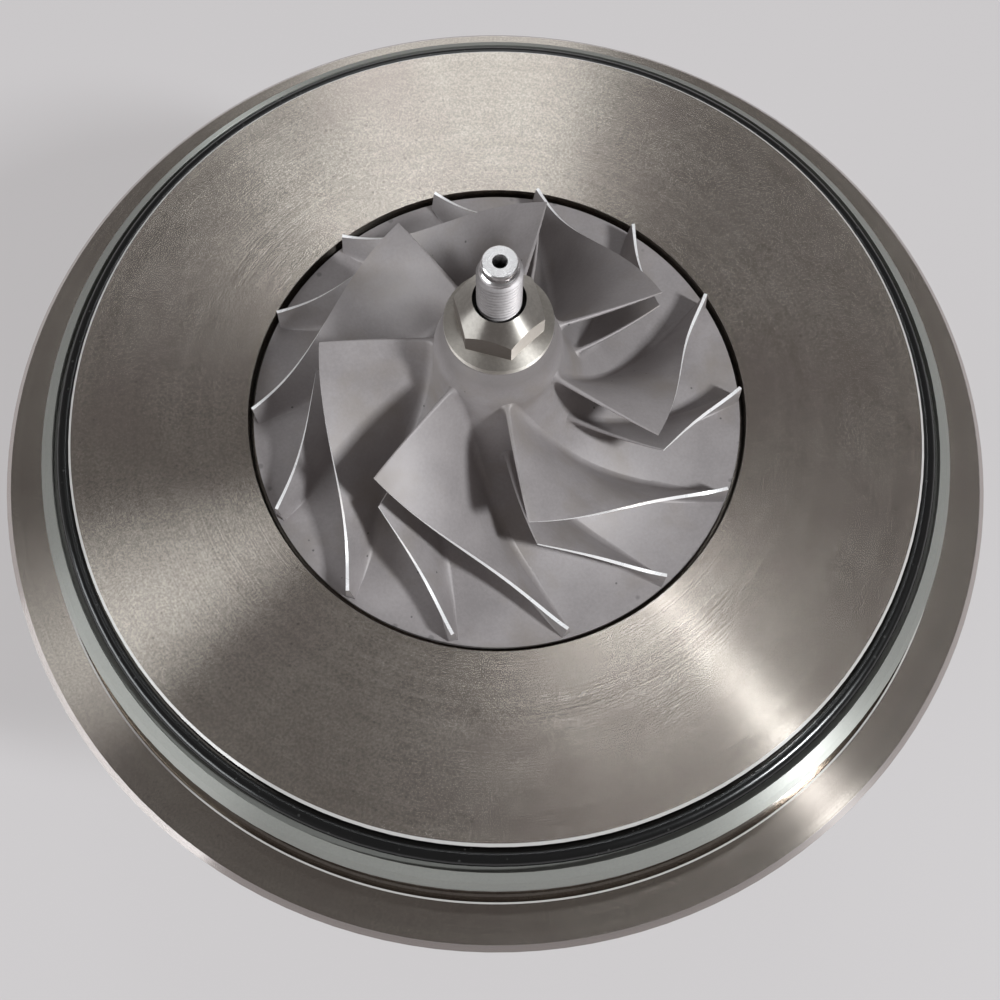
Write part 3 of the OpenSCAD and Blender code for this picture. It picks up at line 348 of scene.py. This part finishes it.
rings = int((thread_top - thread_foot) / thread_pitch * thread_steps)
run_out = thread_run_out * thread_steps
points, faces = [], []
for i in range(rings + 1):
    angle = 2 * math.pi * i / thread_steps
    rise = thread_foot + thread_pitch * i / thread_steps
    crest = thread_root + (thread_crest - thread_root) * min(1.0, (rings - i) / run_out, i / run_out)
    ridge = ((thread_root - thread_sunk, -flank_half), (crest - crest_round, -crest_half), (crest, 0.0),
             (crest - crest_round, crest_half), (thread_root - thread_sunk, flank_half))
    points += [around(radius, angle, rise + lift) for radius, lift in ridge]
corners = len(ridge)
for i in range(rings):
    a, b = i * corners, (i + 1) * corners
    faces += [(a + j, b + j, b + (j + 1) % corners, a + (j + 1) % corners) for j in range(corners)]
faces += [tuple(range(corners)), tuple(rings * corners + j for j in reversed(range(corners)))]
thread_steel = grained_metal("thread_steel", grain=2400.0, dark=(0.36, 0.335, 0.335, 1),
                             light=(0.50, 0.47, 0.47, 1), rough=(0.50, 0.62))
shaft_thread = new_piece("shaft_thread", points, faces, sharp=20.0)
shaft_thread.data.materials.append(thread_steel)
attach(shaft_thread, "rotor")

# Turbine wheel
# A nickel alloy investment casting, friction welded to the shaft: twelve blades on a scalloped disc.
# A cast hexagon on its nose holds it while the rotor is balanced.
turbine_blades = 12
turbine_r, turbine_hub_r, turbine_exducer_r = 45.0, 13.5, 39.5
turbine_weld, turbine_back, turbine_out = -113.8, -116.2, -151.2
turbine_land_r, turbine_rim_thickness = 13.0, 2.0
turbine_front = turbine_back - turbine_rim_thickness
turbine_inlet_height, turbine_inlet_inset = 11.0, 0.4
turbine_inlet_r = turbine_r - turbine_inlet_inset
turbine_sweep, turbine_sweep_power, turbine_hub_sweep = 46.0, 2.2, 0.75
turbine_blade_root, turbine_blade_tip, turbine_fillet = 2.8, 1.2, 1.4
scallop_r, scallop_ring_r, scallop_over = 8.5, 48.0, 0.5
nose_flats, nose_drop, nose_height, nose_sunk, nose_chamfer = 17.0, 4.0, 8.0, 1.0, 0.8
nose_shoulder = ((turbine_hub_r - 0.6, 0.45 * nose_drop), (nose_flats / 2 + 1.6, nose_drop))
pinhole = 0.01  # turned outlines stop this far from the axis
turbine_turn_steps, turbine_arc_steps, scallop_steps = 144, 28, 48


def mix(a, b, share):
    """A number between two others."""
    return a + (b - a) * share


def lathe(profile, steps):
    """A solid of revolution from a closed outline of radius and height."""
    points, faces = [], []
    rows = len(profile)
    for i in range(steps):
        points += [around(r, 2 * math.pi * i / steps, z) for r, z in profile]
    for i in range(steps):
        a, b = i * rows, (i + 1) % steps * rows
        faces += [(a + j, b + j, b + (j + 1) % rows, a + (j + 1) % rows) for j in range(rows)]
    return points, faces


def settled(point, middle_r, middle_z, across, along, sink):
    """A point moved onto a hub whose outline is a quarter ellipse, or below its skin."""
    r = math.hypot(point.x, point.y)
    out, rise = (r - middle_r) / across, (point.z - middle_z) / along
    grow = (1 + sink / across) / math.hypot(out, rise)
    turn = (middle_r + out * across * grow) / r
    return Vector((point.x * turn, point.y * turn, middle_z + rise * along * grow))


def blade(middle, hub, root, tip, start, fillet, turn):
    """One blade round a middle surface: thin rounded front edge, flared root sunk into the hub, flat tip.
    middle gives a point for a share along the flow and a share of the height, hub is its ellipse, root
    and tip are thicknesses, start is a share along the flow, and turn is an angle in degrees."""
    nose_share, nose_run, nose_round, nose_least = 0.5, 16.0, 0.8, 0.03
    sunk, seat, probe, fillet_fade = 0.8, 0.02, 0.01, 0.25
    nose_steps, body_steps = (0.0, 0.0007, 0.0025, 0.0055, 0.0095, 0.0145), 44
    fillet_steps, upper_rows = (0.0, 0.06, 0.16, 0.32, 0.56, 1.0), 10

    def half_thickness(s, t, rise, gone):
        half = mix(root, tip, max(t, 0.0)) / 2 * mix(nose_share, 1.0, min(gone / nose_run, 1.0))
        drop = min(max(fillet - rise, 0.0), fillet)
        flare = fillet - math.sqrt(fillet * fillet - drop * drop)
        half += flare * min(1.0, (1 - s) / fillet_fade)
        return half * math.sqrt(max(nose_least, 1 - max(0.0, 1 - gone / (nose_round * half)) ** 2))

    stations = list(nose_steps)
    stations += [mix(nose_steps[-1], 1.0, i / body_steps) for i in range(1, body_steps + 1)]
    foot_rows = [-sunk] + [fillet * x for x in fillet_steps]
    turn_cos, turn_sin = math.cos(math.radians(turn)), math.sin(math.radians(turn))
    points, faces, edge_faces = [], [], []
    for side in (-1, 1):
        for share in stations:
            s = mix(start, 1.0, share)
            height = (middle(s, 1.0) - middle(s, 0.0)).length
            rises = foot_rows + [mix(fillet, height, (i + 1) / upper_rows) for i in range(upper_rows)]
            for j, rise in enumerate(rises):
                t = rise / height
                along = middle(min(s + probe, 1.0), t) - middle(max(s - probe, 0.0), t)
                up = middle(s, t + probe) - middle(s, t - probe)
                half = half_thickness(s, t, rise, (middle(s, t) - middle(start, t)).length)
                p = middle(s, t) + along.cross(up).normalized() * half * side
                if j == 0:
                    p = settled(p, *hub, sunk)
                elif j == 1:
                    shift = settled(p, *hub, seat) - p
                if j > 0:
                    p += shift * max(0.0, 1 - rise / fillet) ** 2
                points.append((p.x * turn_cos - p.y * turn_sin, p.x * turn_sin + p.y * turn_cos, p.z))
    rows = len(foot_rows) + upper_rows
    last = len(stations) - 1
    far = len(stations) * rows
    for i in range(last):
        for j in range(rows - 1):
            a, b = i * rows + j, (i + 1) * rows + j
            faces += [(a, b, b + 1, a + 1), (far + a, far + a + 1, far + b + 1, far + b)]
        faces.append((far + i * rows, far + (i + 1) * rows, (i + 1) * rows, i * rows))
        a, b = i * rows + rows - 1, (i + 1) * rows + rows - 1
        edge_faces.append((a, b, far + b, far + a))
    for j in range(rows - 1):
        a, b = last * rows + j, far + last * rows + j
        faces += [(j, j + 1, far + j + 1, far + j), (b, b + 1, a + 1, a)]
    return points, faces, edge_faces


def turbine_middle(s, t):
    """A point midway through a turbine blade, for shares along the flow and of the height."""
    quarter = math.pi / 2 * s
    out, fall = 1 - math.sin(quarter), 1 - math.cos(quarter)
    r = mix(mix(turbine_hub_r, turbine_inlet_r, out), mix(turbine_exducer_r, turbine_inlet_r, out), t)
    z = mix(mix(turbine_front, turbine_out, fall),
            mix(turbine_front - turbine_inlet_height, turbine_out, fall), t)
    swept = turbine_sweep * max(s, 0.0) ** turbine_sweep_power
    return Vector(around(r, math.radians(swept * mix(turbine_hub_sweep, 1.0, t)), z))


def cut_away(piece, tool, sharp=32.0):
    """Takes a tool's shape out of a piece, for good."""
    change = piece.modifiers.new("cut", "BOOLEAN")
    change.operation, change.solver, change.object = "DIFFERENCE", "EXACT", tool
    view = bpy.context.evaluated_depsgraph_get()
    mesh = bpy.data.meshes.new_from_object(piece.evaluated_get(view))
    piece.modifiers.clear()
    piece.data = mesh
    mesh.shade_smooth()
    mesh.set_sharp_from_angle(angle=math.radians(sharp))
    bpy.data.objects.remove(tool)


def joined(name, shells):
    """Several closed shells as one piece; faces given as edges take the second material."""
    points, faces, slots = [], [], []
    for shell_points, shell_faces, shell_edges in shells:
        base = len(points)
        points += shell_points
        faces += [tuple(base + i for i in face) for face in shell_faces + shell_edges]
        slots += [0] * len(shell_faces) + [1] * len(shell_edges)
    piece = new_piece(name, points, faces)
    piece.data.polygons.foreach_set("material_index", slots)
    return piece


turbine_alloy = grained_metal("turbine_alloy", grain=1500.0, dark=(0.20, 0.175, 0.155, 1),
                              light=(0.31, 0.28, 0.25, 1), rough=(0.42, 0.58), relief=(0.35, 0.2))

# The disc and hub, turned first, with a scallop then cut from the disc between each two blades
profile = [(pinhole, turbine_weld), (turbine_land_r, turbine_weld),
           (turbine_land_r + pinhole, turbine_back), (turbine_r, turbine_back)]
for i in range(turbine_arc_steps + 1):
    quarter = math.pi / 2 * i / turbine_arc_steps
    profile.append((mix(turbine_hub_r, turbine_r, 1 - math.sin(quarter)),
                    mix(turbine_front, turbine_out, 1 - math.cos(quarter))))
profile += [(r, turbine_out - drop) for r, drop in nose_shoulder]
profile.append((pinhole, turbine_out - nose_drop))
profile.reverse()
turbine_disc = new_piece("turbine_disc", *lathe(profile, turbine_turn_steps))
scallop = [(pinhole, turbine_out), (scallop_r, turbine_out),
           (scallop_r, turbine_back + scallop_over), (pinhole, turbine_back + scallop_over)]
plug_points, plug_faces = lathe(scallop, scallop_steps)
plugs = []
for i in range(turbine_blades):
    shift_x, shift_y, _ = around(scallop_ring_r, 2 * math.pi * (i + 0.5) / turbine_blades, 0.0)
    plugs.append(([(x + shift_x, y + shift_y, z) for x, y, z in plug_points], plug_faces, []))
cut_away(turbine_disc, joined("scallop_cutter", plugs))
turbine_disc.data.materials.append(turbine_alloy)
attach(turbine_disc, "rotor")

# The blades and the nose's hexagon
nose_seat = turbine_out - nose_drop
nose_end = nose_seat - nose_height
nose_corner_r = nose_flats / 2 / math.cos(math.pi / 6)
hexagon = []
for corner_r, level in ((nose_corner_r, nose_seat + nose_sunk), (nose_corner_r, nose_end + nose_chamfer),
                        (nose_corner_r - nose_chamfer, nose_end)):
    hexagon += [around(corner_r, math.pi / 3 * i, level) for i in range(6)]
hexagon_faces = [(k + 6 + i, k + 6 + (i + 1) % 6, k + (i + 1) % 6, k + i) for k in (0, 6) for i in range(6)]
hexagon_faces += [tuple(range(6)), tuple(reversed(range(12, 18)))]
turbine_hub = (turbine_r, turbine_out, turbine_r - turbine_hub_r, turbine_front - turbine_out)
shells = [blade(turbine_middle, turbine_hub, turbine_blade_root, turbine_blade_tip, start=0.0,
                fillet=turbine_fillet, turn=360.0 * i / turbine_blades) for i in range(turbine_blades)]
turbine_bladed = joined("turbine_wheel_bladed", shells + [(hexagon, hexagon_faces, [])])
turbine_faces, turbine_edges = turbine_alloy, turbine_alloy
for material in (turbine_faces, turbine_edges):
    turbine_bladed.data.materials.append(material)
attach(turbine_bladed, "rotor")
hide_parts("turbine_wheel")

# Thrust parts and oil seal
# Ground steel collar, slinger and dowels, a turned seal plate, and a thin pressed baffle.
# They stack inside the housing's counterbore and are held by the circlip.
inner_steel = turned_metal("inner_steel", marks_per_mm=3.5, dark=(0.40, 0.39, 0.38, 1),
                           light=(0.58, 0.57, 0.55, 1), rough=(0.28, 0.40), relief=(0.2, 0.04))
for part in ("oil_seal_plate", "oil_baffle", "thrust_dowels", "thrust_collar", "oil_slinger"):
    dress(part, inner_steel)

# Rubber rings
# Three moulded O-rings: one under the housing joint, one round the seal plate, and the large one
# that seals the compressor cover, which shows in its seat round the backplate.
rubber_black, dust_grey = (0.004, 0.004, 0.004, 1), (0.03, 0.03, 0.029, 1)
rubber, tree, skin = finish("rubber", Specular_IOR_Level=0.5)
cast = use(tree, "cast_skin", Grain=2600.0)
dust = use(tree, "specks", Size=900.0, Rarity=0.9)
wire(tree, skin, Base_Color=tint(tree, dust["Mask"], rubber_black, dust_grey),
     Roughness=gloss(tree, cast["Tone"], 0.17, 0.24))
bump(tree, skin, cast["Height"], strength=0.06, depth=0.06)
for part in ("cover_o_ring", "joint_o_ring", "seal_plate_o_ring"):
    dress(part, rubber)

# Backplate
# A disc of grey iron turned all over: the recess behind the wheel, the wide front face, the O-ring
# seat, the register for the cover and the clamp rim. The tool's rings fan the light out.
lip_z, lip_r = 15.5 * mm, 86.92 * mm
land_z, land_r = 6.0 * mm, 90.0 * mm
foot_z, foot_inner_r, foot_outer_r = -1.0 * mm, 96.8 * mm, 97.15 * mm
rim_start_r, rim_full_r, rim_edge_r = 95.1 * mm, 95.3 * mm, 104.65 * mm
ring_dark, ring_light = (0.415, 0.370, 0.326, 1), (0.455, 0.407, 0.361, 1)
iron_glint = (0.53, 0.485, 0.430, 1)
stain_brown, pit_dark = (0.375, 0.318, 0.290, 1), (0.14, 0.125, 0.115, 1)
land_grey, rim_dull = (0.335, 0.345, 0.325, 1), (0.22, 0.195, 0.172, 1)
rim_edge_highlight, highlight_line_white = (0.63, 0.58, 0.555, 1), (0.66, 0.64, 0.62, 1)


def ring_tangent(tree):
    """The direction round the shaft axis, along which a lathe tool leaves its rings."""
    return add(tree, "ShaderNodeTangent", direction_type="RADIAL", axis="Z").outputs[0]


backplate_iron, tree, skin = finish("backplate_iron", Anisotropic=1.0, Anisotropic_Rotation=0.25)
place = here(tree)
spot = split(tree, place)
reach = from_axis(tree, spot)
marks = use(tree, "turning_marks", Marks_per_mm=2.2)
cast = use(tree, "cast_skin", Grain=2200.0)
pits = use(tree, "specks", Size=900.0, Rarity=0.95)
stain = noise(tree, place, scale=34.0, detail=4.0, roughness=0.6)
crystals = noise(tree, place, scale=2100.0, detail=2.0)

on_lip = both(tree, above(tree, spot[2], lip_z), above(tree, reach, lip_r))
on_land = both(tree, above(tree, spot[2], land_z), above(tree, reach, land_r))
on_rim = spread(tree, reach, rim_start_r, rim_full_r, 0.0, 1.0)
on_edge = above(tree, reach, rim_edge_r)
past_groove = both(tree, above(tree, reach, foot_inner_r), below(tree, reach, foot_outer_r))
# The lip's chamfer and a thin line at the register's foot are painted pale and less metallic: painted
# highlight lines.
highlight_lines = either(tree, on_lip, both(tree, past_groove, above(tree, spot[2], foot_z)))

ringed = tint(tree, spread(tree, marks["Band"], 0.3, 0.7, 0.0, 1.0), ring_dark, ring_light)
worked = tint(tree, spread(tree, cast["Tone"], 0.38, 0.62, 0.0, 0.45), ringed, iron_glint)
flecks = spread(tree, crystals, 0.36, 0.64, 0.88, 1.12)
flecked = add(tree, "ShaderNodeMix", {0: 1.0, 6: worked, 7: flecks},
              data_type="RGBA", blend_type="MULTIPLY").outputs[2]
stained = tint(tree, spread(tree, stain, 0.48, 0.72, 0.0, 0.55), flecked, stain_brown)
pitted = tint(tree, part_of(tree, pits["Mask"], 0.35), stained, pit_dark)
landed = tint(tree, part_of(tree, on_land, 0.8), pitted, land_grey)
dulled = tint(tree, part_of(tree, on_rim, 0.4), landed, rim_dull)
# The rim's outer chamfer is painted light: a painted highlight along the edge.
edge_highlighted = tint(tree, on_edge, dulled, rim_edge_highlight)
matt = either(tree, highlight_lines, part_of(tree, on_land, 0.75))
feed = calc(tree, "MULTIPLY_ADD", cast["Tone"], 0.5, part_of(tree, marks["Band"], 0.5))
smooth = gloss(tree, feed, 0.174, 0.192)
wire(tree, skin, Base_Color=tint(tree, highlight_lines, edge_highlighted, highlight_line_white),
     Metallic=spread(tree, matt, 0.0, 1.0, 1.0, 0.35),
     Roughness=calc(tree, "MULTIPLY_ADD", on_land, 0.30, smooth), Tangent=ring_tangent(tree))
bump(tree, skin, marks["Height"], strength=0.22, depth=0.06)
dress("compressor_backplate", backplate_iron)

# Backplate bolts
# Six hexagon bolts of forged steel, phosphated dark. They come from behind, through the housing's
# flange, and pull it up to the backplate.
bolt_dark, bolt_light = (0.07, 0.07, 0.075, 1), (0.16, 0.155, 0.155, 1)
bolt_steel, tree, skin = finish("bolt_steel", Metallic=1.0)
cast = use(tree, "cast_skin", Grain=1800.0)
wire(tree, skin, Base_Color=tint(tree, cast["Tone"], bolt_dark, bolt_light),
     Roughness=gloss(tree, cast["Tone"], 0.38, 0.52))
bump(tree, skin, cast["Height"], strength=0.12, depth=0.1)
dress("backplate_bolts", bolt_steel)

# Compressor wheel
# Aluminium, cast and then satin blasted, with seven full blades and seven splitters that wrap back
# round the hub. The blades' outer edges are turned bright to fit the cover, and their near white
# colour is also a painted highlight.
wheel_blades = 7
wheel_r, wheel_bore_r, wheel_boss_r = 50.0, 4.61, 13.0
wheel_rim, wheel_back, wheel_boss_top, wheel_foot = 15.8, 14.4, 7.4, 6.0
wheel_nose_r, wheel_nose, wheel_nose_chamfer = 9.8, 54.8, 0.4
wheel_turn_steps, wheel_arc_steps = 180, 40
hub_start_r, hub_start_z = 12.0, wheel_rim + 30.4
tip_start_r, tip_start_z = 33.5, wheel_rim + 27.0
blade_end_r, exducer_width = 49.4, 5.6
blade_phase, blade_wrap, tip_lead, even_share = 177.3, 58.0, 2.6, 0.41
tip_wrap_power, hub_wrap_power = 2.9, 1.9
blade_root, blade_tip, blade_fillet = 2.0, 0.66, 1.5
splitter_start = 0.29
nut_shade_start_z, nut_shade_full_z = 47.5 * mm, 51.5 * mm
scuff_start_r, scuff_full_r = 47.4 * mm, 48.0 * mm
satin_dark, satin_light = (0.290, 0.264, 0.263, 1), (0.356, 0.325, 0.324, 1)
nut_shade_grey = (0.165, 0.147, 0.141, 1)
smudge_brown, mark_dark = (0.262, 0.226, 0.196, 1), (0.06, 0.055, 0.058, 1)


def wheel_middle(s, t):
    """A point midway through a compressor blade, for shares along the flow and of the height."""
    quarter = math.pi / 2 * s
    out, fall = 1 - math.cos(quarter), 1 - math.sin(quarter)
    r = mix(mix(hub_start_r, blade_end_r, out), mix(tip_start_r, blade_end_r, out), t)
    z = mix(mix(wheel_rim, hub_start_z, fall), mix(wheel_rim + exducer_width, tip_start_z, fall), t)
    rest = 1 - min(s, 1.0)
    tip_turn = blade_wrap * mix(1 - rest ** tip_wrap_power, s, even_share)
    hub_turn = (blade_wrap + tip_lead) * mix(1 - rest ** hub_wrap_power, s, even_share) - tip_lead
    return Vector(around(r, math.radians(blade_phase + mix(hub_turn, tip_turn, t)), z))


profile = [(wheel_bore_r, wheel_foot), (wheel_boss_r, wheel_foot), (wheel_boss_r, wheel_boss_top),
           (wheel_r, wheel_back)]
for i in range(wheel_arc_steps, -1, -1):
    quarter = math.pi / 2 * i / wheel_arc_steps
    profile.append((mix(hub_start_r, wheel_r, 1 - math.cos(quarter)),
                    mix(wheel_rim, hub_start_z, 1 - math.sin(quarter))))
profile += [(wheel_nose_r, wheel_nose - wheel_nose_chamfer),
            (wheel_nose_r - wheel_nose_chamfer, wheel_nose), (wheel_bore_r, wheel_nose)]
shells = [(*lathe(profile, wheel_turn_steps), [])]
wheel_hub = (wheel_r, hub_start_z, wheel_r - hub_start_r, hub_start_z - wheel_rim)
blade_pitch = 360.0 / wheel_blades
for i in range(wheel_blades):
    for start, turn in ((0.0, i * blade_pitch), (splitter_start, (i - 0.5) * blade_pitch)):
        shells.append(blade(wheel_middle, wheel_hub, blade_root, blade_tip, start, blade_fillet, turn))
wheel_bladed = joined("compressor_wheel_bladed", shells)

wheel_aluminium, tree, skin = finish("wheel_aluminium", Metallic=0.25)
place = here(tree)
spot = split(tree, place)
reach = from_axis(tree, spot)
cast = use(tree, "cast_skin", Grain=1600.0)
pits = use(tree, "specks", Size=1000.0, Rarity=0.992)
scuffs = use(tree, "specks", Size=420.0, Rarity=0.80)
smudge = noise(tree, place, scale=75.0, detail=3.0, roughness=0.6)
satin = mottle(tree, cast["Tone"], satin_dark, satin_light)
# The top of the wheel's nose darkens towards the nut: painted shade under the nut's flange.
under_nut_shade = spread(tree, spot[2], nut_shade_start_z, nut_shade_full_z, 0.0, 0.55)
nut_shaded = tint(tree, under_nut_shade, satin, nut_shade_grey)
handled = tint(tree, spread(tree, smudge, 0.50, 0.72, 0.0, 0.55), nut_shaded, smudge_brown)
by_rim = both(tree, scuffs["Mask"], spread(tree, reach, scuff_start_r, scuff_full_r, 0.0, 0.4))
marked = either(tree, by_rim, part_of(tree, pits["Mask"], 0.75))
wire(tree, skin, Base_Color=tint(tree, marked, handled, mark_dark),
     Roughness=gloss(tree, cast["Tone"], 0.50, 0.62))
bump(tree, skin, cast["Height"], strength=0.16, depth=0.12)
# The turned blade edges are near white and barely metallic: their bright turned finish plus a painted
# highlight along their whole length.
turned_edge_and_highlight = turned_metal("turned_edge_and_highlight", marks_per_mm=4.0, dark=(0.93, 0.91, 0.91, 1),
                          light=(1.0, 0.98, 0.98, 1), rough=(0.24, 0.34), metallic=0.25)
for material in (wheel_aluminium, turned_edge_and_highlight):
    wheel_bladed.data.materials.append(material)
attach(wheel_bladed, "rotor")
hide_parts("compressor_wheel")

# Rotor nut
# A flanged hexagon nut of bright steel with milled flats and a turned cone on top. It is run down
# onto the wheel's nose, and clamps the wheel, slinger and collar on the shaft.
mouth_r = 4.7 * mm
flange_top_z = 56.85 * mm
upright = 0.05  # a face counts as upright below this share of its normal
turned_dark, turned_light = (0.56, 0.52, 0.475, 1), (0.68, 0.64, 0.59, 1)
flat_finish_and_shade, mouth_shade_black = (0.26, 0.225, 0.20, 1), (0.01, 0.009, 0.008, 1)
nut_steel, tree, skin = finish("nut_steel", Metallic=1.0, Anisotropic=1.0, Anisotropic_Rotation=0.25)
spot, facing = split(tree, here(tree)), split(tree, here(tree, "Normal"))
marks = use(tree, "turning_marks", Marks_per_mm=5.0)
cast = use(tree, "cast_skin", Grain=1400.0)
# Round the bore the nut is painted nearly black: painted shade in the gap between the stud and the cone.
shaded_mouth = below(tree, from_axis(tree, spot), mouth_r)
on_flange = below(tree, spot[2], flange_top_z)
on_flat = both(tree, below(tree, calc(tree, "ABSOLUTE", facing[2]), upright),
               calc(tree, "SUBTRACT", 1.0, on_flange))
turned = tint(tree, spread(tree, cast["Tone"], 0.4, 0.6, 0.0, 1.0), turned_dark, turned_light)
# The flats are painted darker than the cone: partly their milled finish, partly painted shade.
flats_darkened = tint(tree, part_of(tree, on_flat, 0.75), turned, flat_finish_and_shade)
wire(tree, skin, Base_Color=tint(tree, part_of(tree, shaded_mouth, 0.97), flats_darkened, mouth_shade_black),
     Roughness=spread(tree, on_flange, 0.0, 1.0, 0.50, 0.80), Tangent=ring_tangent(tree))
bump(tree, skin, marks["Height"], strength=0.25, depth=0.04)
dress("rotor_nut", nut_steel)

# Bench, lamps and camera
# The cartridge stands on its turbine nose on a pale sheet. The lamp at the right throws the shadows,
# a low wide one at the left fills them, and three weak ones fan out over the turned face.
# The camera looks down into the compressor wheel from the front.
floor_z, floor_half = cad_low.z, 12.0
sheet_dark, sheet_light = (0.655, 0.627, 0.634, 1), (0.675, 0.647, 0.654, 1)
sheet_seen, sheet_glow, glow_strength = (0.235, 0.225, 0.227, 1), (1.0, 0.965, 0.972, 1), 0.385
sheet, tree, skin = finish("pale_sheet", Metallic=0.0, Roughness=0.9, Emission_Color=sheet_glow)
pale = tint(tree, noise(tree, here(tree), scale=3.0, detail=1.0), sheet_dark, sheet_light)
ray = add(tree, "ShaderNodeLightPath").outputs
seen = either(tree, ray["Is Camera Ray"], either(tree, ray["Is Glossy Ray"], ray["Is Transmission Ray"]))
wire(tree, skin, Base_Color=tint(tree, seen, pale, sheet_seen),
     Emission_Strength=part_of(tree, seen, glow_strength))
floor_mesh = bpy.data.meshes.new("floor")
floor_mesh.from_pydata([(x * floor_half, y * floor_half, floor_z)
                        for x, y in ((-1, -1), (1, -1), (1, 1), (-1, 1))], [], [(0, 1, 2, 3)])
floor_mesh.materials.append(sheet)
floor = bpy.data.objects.new("floor", floor_mesh)
bpy.context.scene.collection.objects.link(floor)

aim = Vector((0.0, 0.0, 0.02))
cool_white = (0.93, 0.975, 1.0)
lamps = (  # name, place, width, height and power
    ("lamp_left", (-0.500, 0.264, 1.409), 0.29, 0.17, 0.33),
    ("lamp_right", (0.926, -0.513, 1.083), 0.11, 0.25, 20.5),
    ("lamp_back", (-0.073, 1.003, 1.133), 0.39, 0.83, 1.57),
    ("lamp_above", (0.079, 0.485, 1.437), 0.13, 0.08, 0.43),
    ("lamp_low", (-1.307, -0.609, 0.433), 1.20, 0.50, 13.0),
)
for name, stands_at, width, height, power in lamps:
    lamp = bpy.data.lights.new(name, "AREA")
    lamp.shape, lamp.size, lamp.size_y, lamp.energy = "RECTANGLE", width, height, power
    lamp.color = cool_white
    stand = bpy.data.objects.new(name, lamp)
    stand.location = stands_at
    stand.rotation_mode = "QUATERNION"
    stand.rotation_quaternion = (aim - Vector(stands_at)).to_track_quat("-Z", "Y")
    bpy.context.scene.collection.objects.link(stand)

room_grey, room_strength = (0.29, 0.28, 0.28, 1), 0.62
world = bpy.data.worlds.new("room")
bpy.context.scene.world = world
world.use_nodes = True
room = world.node_tree.nodes["Background"].inputs
room["Color"].default_value = room_grey
room["Strength"].default_value = room_strength

eye = Vector((0.0, -0.1036, 0.2636))
right = Vector((0.9998, 0.0158, 0.0088)).normalized()
ahead = Vector((0.0033, 0.3203, -0.9473)).normalized()
up = right.cross(ahead).normalized()
right = ahead.cross(up).normalized()
camera_data = bpy.data.cameras.new("camera")
camera_data.sensor_width = 36.0
camera_data.lens = 46.8
camera_data.clip_start = 0.01
camera = bpy.data.objects.new("camera", camera_data)
camera.matrix_world = Matrix(((right.x, up.x, -ahead.x, eye.x), (right.y, up.y, -ahead.y, eye.y),
                              (right.z, up.z, -ahead.z, eye.z), (0, 0, 0, 1)))
bpy.context.scene.collection.objects.link(camera)
bpy.context.scene.camera = camera
bpy.context.scene.view_settings.view_transform = "Standard"
